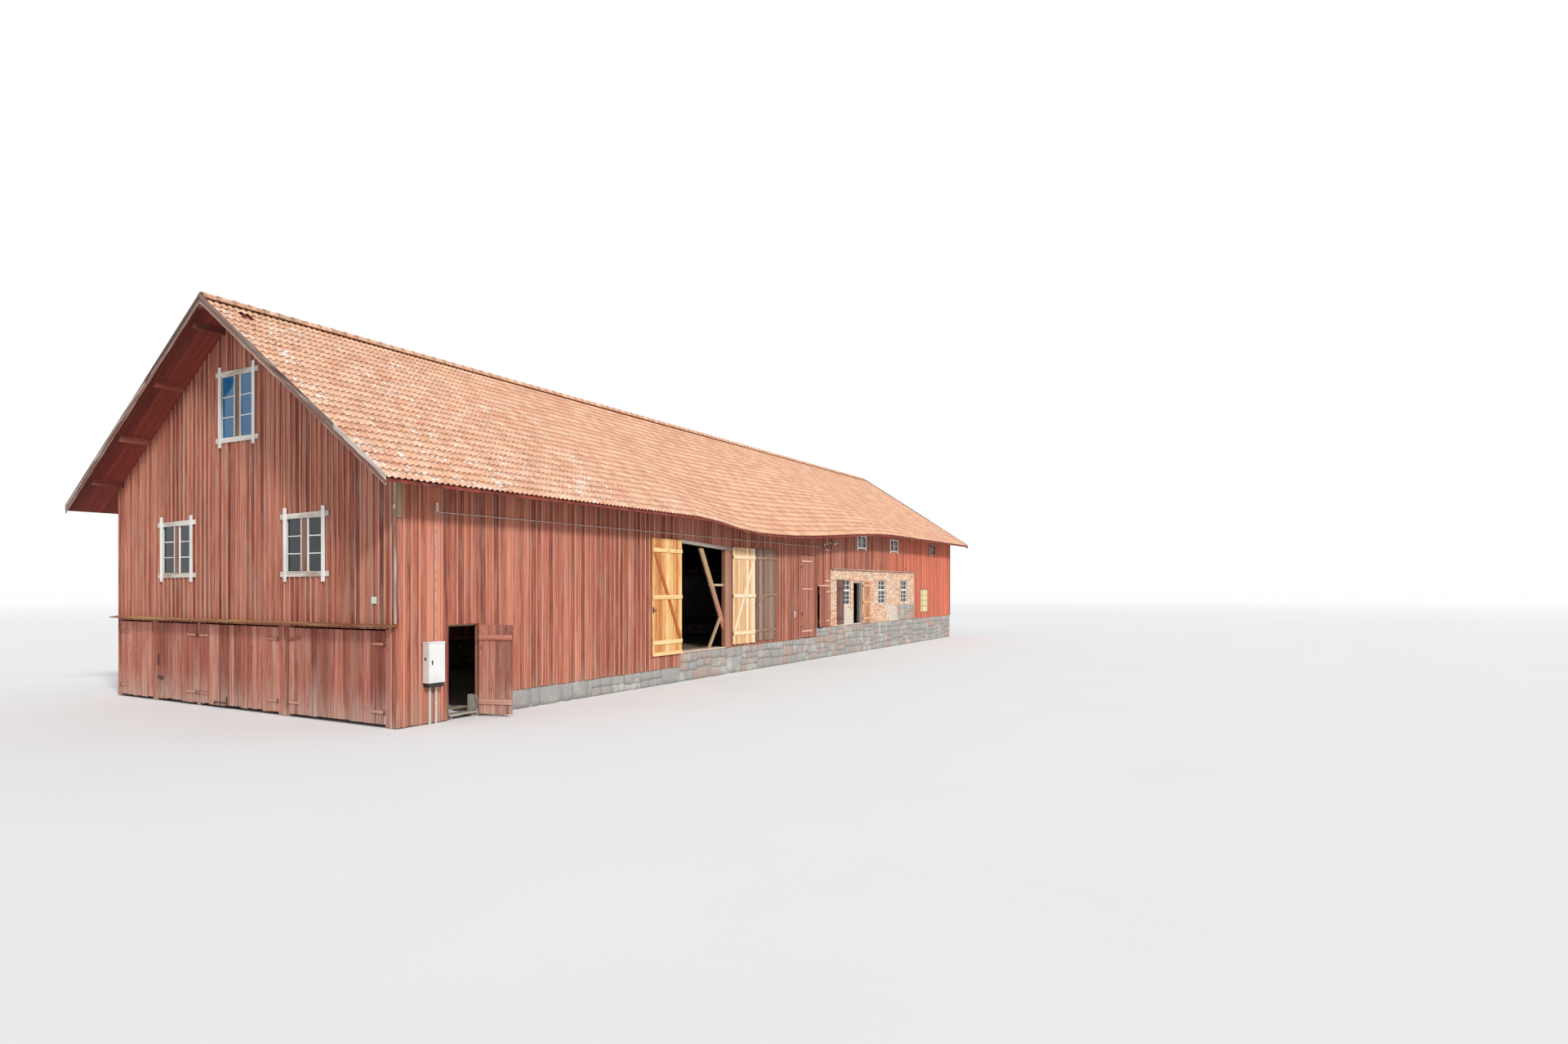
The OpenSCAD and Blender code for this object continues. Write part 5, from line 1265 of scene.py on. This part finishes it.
planks, s, here = new_material("floor_planks")
x_place, y_place = here.axis("X"), here.axis("Y")
row = s.math("FLOOR", y_place * (1 / PLANK_W))
across = y_place * (1 / PLANK_W) - row
tone = s.node("ShaderNodeTexWhiteNoise", {"W": row}, output="Value", noise_dimensions="1D")
g = s.node("ShaderNodeCombineXYZ", {"X": x_place * 0.8 + tone * 30.0, "Y": y_place * 30.0, "Z": row})
fibre, wear = g.noise(1.0, 4.0), here.noise(1.7)
colour = (tone * 0.6 + fibre * 0.5).step(0.3, 0.9).mix(tint(104, 88, 72), tint(166, 146, 124))
colour = (wear.step(0.5, 0.7) * 0.5).mix(colour, tint(128, 116, 102))
seam = s.math("MINIMUM", across, 1.0 - across).step(0.035, 0.012)
coat(s, seam.mix(colour, tint(40, 33, 28)), 0.86, height=fibre - seam * 1.5, depth=0.006)
for name in ("loft_floor", "threshing_floor", "stable_floor", "hay_loft_floor"):
    finish_node(name, planks)

sills, steps = Boards(81), Boards(82)
left_z, right_z, stable_z = THRESH_Z + 0.034, THRESH_Z + 0.030, STABLE_Z + 0.04
for inner, outer, tone in ((-0.19, 0.0, 0.8), (-0.38, -0.20, 0.5)):
    front.lying(sills, ((MAIN_PLACE + 0.004, left_z, left_z), (POST_PLACE - 0.004, right_z, right_z)),
                inner, outer, 0.034, tone=tone)
front.lying(sills, ((23.765, stable_z, stable_z), (24.58, stable_z, stable_z)), -0.2, 0.0, 0.04)
sills.piece("doorway_sills", pale_wood, "floor_wood")
for k in range(4):
    z, out = 0.12 + 0.10 * (k // 2), -0.16 - 0.30 * (k // 2)
    y = out - 0.145 * (k % 2)
    front.lying(steps, ((1.40, z, z), (2.16, z, z)), y, y + 0.12, 0.03)
for place in (1.46, 2.06):
    front.slab(steps, place, place + 0.05, 0.0, 0.09, -0.10, -0.46)
    front.slab(steps, place, place + 0.05, 0.09, 0.19, -0.47, -0.75)
steps.piece("low_doorway_steps", old_grey, "floor_wood")

# Cover boards and number plate.
# The near corner has weathered cover boards, with flakes of old white paint, and a bare white
# plate beside it. Red strips cover the hay loft's joints.

STRIP_PLACES = (BRICK_PLACE + 0.06, 22.9, 25.9, 28.6, FAR_PLACE - 0.05, WALL_LEN - 0.06)
PLATE_X, PLATE_Z, SCREW = -19.007, 2.735, [(0.004, 0), (0.004, 0.003), (0.002, 0.004)]
flaky = wood("flaky_white", (92, 60, 50), (140, 98, 82), (176, 142, 126), (216, 206, 196), wear=0.7)
post_wood = wood("post_wood", (112, 84, 58), (162, 136, 100), (198, 176, 140), (136, 122, 98), wear=0.6)
corner, post, strips = Boards(91), Boards(92), Boards(93)
near_gable.slab(corner, 0.0, 0.06, 2.235, 5.60, 0.018, 0.0)
corner.piece("corner_cover_boards", flaky, "weathered_wood", "front_wall_corner")
front.slab(post, -0.017, 0.15, 4.50, 5.62, 0.016, 0.0)
post.piece("corner_post_head", post_wood, "weathered_wood", "front_wall_corner")
for place in STRIP_PLACES:
    foot = BRICK_TOP + 0.045 if place < FAR_PLACE - 0.1 else STABLE_Z
    front.slab(strips, place - 0.04, place + 0.055, foot, wall_top(place) - 0.02, 0.016, 0.0)
strips.piece("hay_loft_cover_strips", red_boards, "red_wood", "front_wall_hay_loft")


def soft_box(low, high, bevel):
    """A box with rounded edges, from its low and high corners."""
    form = bmesh.new()
    add_box(form, low, high)
    bmesh.ops.bevel(form, geom=form.edges, offset=bevel, segments=2, profile=0.5, affect="EDGES")
    return form


def turned(profile, centre, axis=UP, steps=16):
    """A solid turned about an axis from (radius, height) pairs."""
    form, rings = bmesh.new(), []
    turn = Vector(axis).to_track_quat("Z", "Y").to_matrix()
    angles = [2 * math.pi * k / steps for k in range(steps)]
    for radius, height in profile:
        spots = (Vector((radius * math.cos(a), radius * math.sin(a), height)) for a in angles)
        rings.append([form.verts.new(Vector(centre) + turn @ spot) for spot in spots])
    for low, high in zip(rings, rings[1:]):
        for k in range(steps):
            n = (k + 1) % steps
            form.faces.new((low[k], low[n], high[n], high[k]))
    form.faces.new(rings[0][::-1])
    form.faces.new(rings[-1])
    return form


def joined_piece(name, forms, material, replaced=""):
    """Makes one piece of several forms."""
    whole = bmesh.new()
    for form in forms:
        whole.from_mesh(mesh_of(form))
    mesh = mesh_of(whole)
    mesh.materials.append(material)
    place_piece(name, outward(mesh), replaced)


white_steel, s, here = new_material("white_steel")
dust, film = here.noise(30.0, 4.0), here.noise(2.2)
colour = (film.step(0.45, 0.75) * 0.5).mix(tint(226, 226, 222), tint(200, 196, 186))
coat(s, (dust.step(0.55, 0.75) * 0.15).mix(colour, tint(150, 144, 132)), 0.42, height=dust, bump=0.06,
     depth=0.001)
forms = [soft_box((PLATE_X, -5.26, 2.66), (-19.001, -5.08, 2.81), 0.0025)]
forms += [turned(SCREW, (PLATE_X, y, PLATE_Z), (-1, 0, 0), 8) for y in (-5.245, -5.095)]
joined_piece("bare_number_plate", forms, white_steel, "gable_wall_near")

# Electric cabinet and wall cable.
# A white steel cabinet hangs at the corner on two grey pipes. A pale cable runs from it up the
# wall and along it, held by porcelain insulators.

CABINET_X, CABINET_Y, CABINET_Z = (-18.36, -17.93), (-6.12, -5.90), (0.92, 1.82)
PIPE_R, SLEEVE_R, LAMP_AT = 0.029, 0.033, (21.32 - END_X, -6.06, 4.90)
SLEEVED_PIPE = [(PIPE_R, 0.002), (PIPE_R, 0.42), (SLEEVE_R, 0.425), (SLEEVE_R, 0.47), (PIPE_R, 0.475),
                (PIPE_R, 0.829)]
BELL = [(0.012, 0.0), (0.034, 0.004), (0.038, 0.02), (0.030, 0.034), (0.020, 0.042), (0.026, 0.052),
        (0.030, 0.07), (0.022, 0.088), (0.010, 0.096)]
LAMP = [(0.02, 0.06), (0.05, 0.05), (0.12, 0.02), (0.165, -0.03), (0.16, -0.034), (0.10, 0.0), (0.03, 0.02)]
BULB = [(0.012, 0.02), (0.03, 0.0), (0.036, -0.03), (0.024, -0.06), (0.006, -0.072)]


def dusty(name, scale, detail, film, clean, soiled, roughness, bump, **fixed):
    """A smooth coat with dust on it. film gives the noise levels between which it is soiled."""
    made, s, here = new_material(name)
    dust = here.noise(scale, detail)
    colour = (dust.step(*film) if film else dust).mix(tint(*clean), tint(*soiled))
    coat(s, colour, roughness, height=dust, bump=bump, depth=0.001, **fixed)
    return made


black_plastic = dusty("black_plastic", 24.0, 3.0, (0.4, 0.8), (30, 30, 30), (64, 62, 58), 0.55, 0.1)
pipe_grey = dusty("pipe_grey", 16.0, 3.0, None, (176, 174, 168), (206, 202, 194), 0.5, 0.08)
cable_coat = dusty("cable_coat", 9.0, 4.0, (0.35, 0.7), (206, 198, 188), (158, 148, 138), 0.6, 0.1)
porcelain = dusty("porcelain", 80.0, 4.0, (0.5, 0.8), (232, 224, 200), (196, 182, 150), 0.22, 0.05,
                  Coat_Weight=0.6)
(x0, x1), (y0, y1), (z0, z1) = CABINET_X, CABINET_Y, CABINET_Z
joined_piece("cabinet_case", [
    soft_box((x0 + 0.008, y0 + 0.014, z0), (x1 - 0.008, y1, z1 - 0.02), 0.006),
    soft_box((x0 + 0.012, y0 + 0.004, z0 + 0.012), (x1 - 0.012, y0 + 0.0135, z1 - 0.045), 0.004),
    soft_box((x0, y0, z1 - 0.035), (x1, y1, z1), 0.008),
], white_steel, "meter_cabinet")
joined_piece("cabinet_fittings", [
    soft_box((x0 + 0.03, y0 + 0.03, z0 - 0.09), (x1 - 0.03, y1, z0 - 0.001), 0.006),
    soft_box((x0 - 0.0005, y0 + 0.10, z0 + 0.50), (x0 + 0.007, y0 + 0.15, z0 + 0.56), 0.002),
    turned([(0.022, 0), (0.022, 0.003), (0.014, 0.004)], (x0 + 0.09, y0 + 0.004, z0 + 0.46), (0, -1, 0)),
    soft_box((x0 + 0.075, y0 - 0.006, z0 + 0.40), (x0 + 0.10, y0 + 0.0045, z0 + 0.50), 0.003),
], black_plastic, "meter_cabinet")
joined_piece("cabinet_pipes", [turned(SLEEVED_PIPE, (x, -5.935, 0), UP, 20) for x in (-18.20, -18.04)],
             pipe_grey, "meter_cabinet")
finish_node("wall_cable", cable_coat)
finish_node("door_hinges", iron)

bell_places = [(-18.02, -5.955, 4.70), (-18.02, -5.955, 4.80), (-19.012, -5.86, 4.68)]
bell_places += [(20.35 - END_X + 0.28 * k, -6.05, 4.74 + 0.05 * k) for k in range(3)]
joined_piece("insulators", [turned(BELL, place, UP, 18) for place in bell_places], porcelain)
rods = Boards(95)
front.bar(rods, (20.2, 4.66), (21.25, 4.88), 0.03, 0.155, 0.145)
front.bar(rods, (20.95, 4.60), (21.15, 4.86), 0.02, 0.154, 0.146)
front.slab(rods, 20.98, 21.02, 4.55, 4.85, 0.012, 0.0)
for z in (4.62, 4.80):
    front.slab(rods, 20.985, 21.015, z, z + 0.012, 0.0, 0.155)
rods.piece("cable_bracket", iron, "dark_iron")
joined_piece("wall_lamp", [turned(LAMP, LAMP_AT, UP, 20), turned(BULB, LAMP_AT, UP, 14)], white_steel)
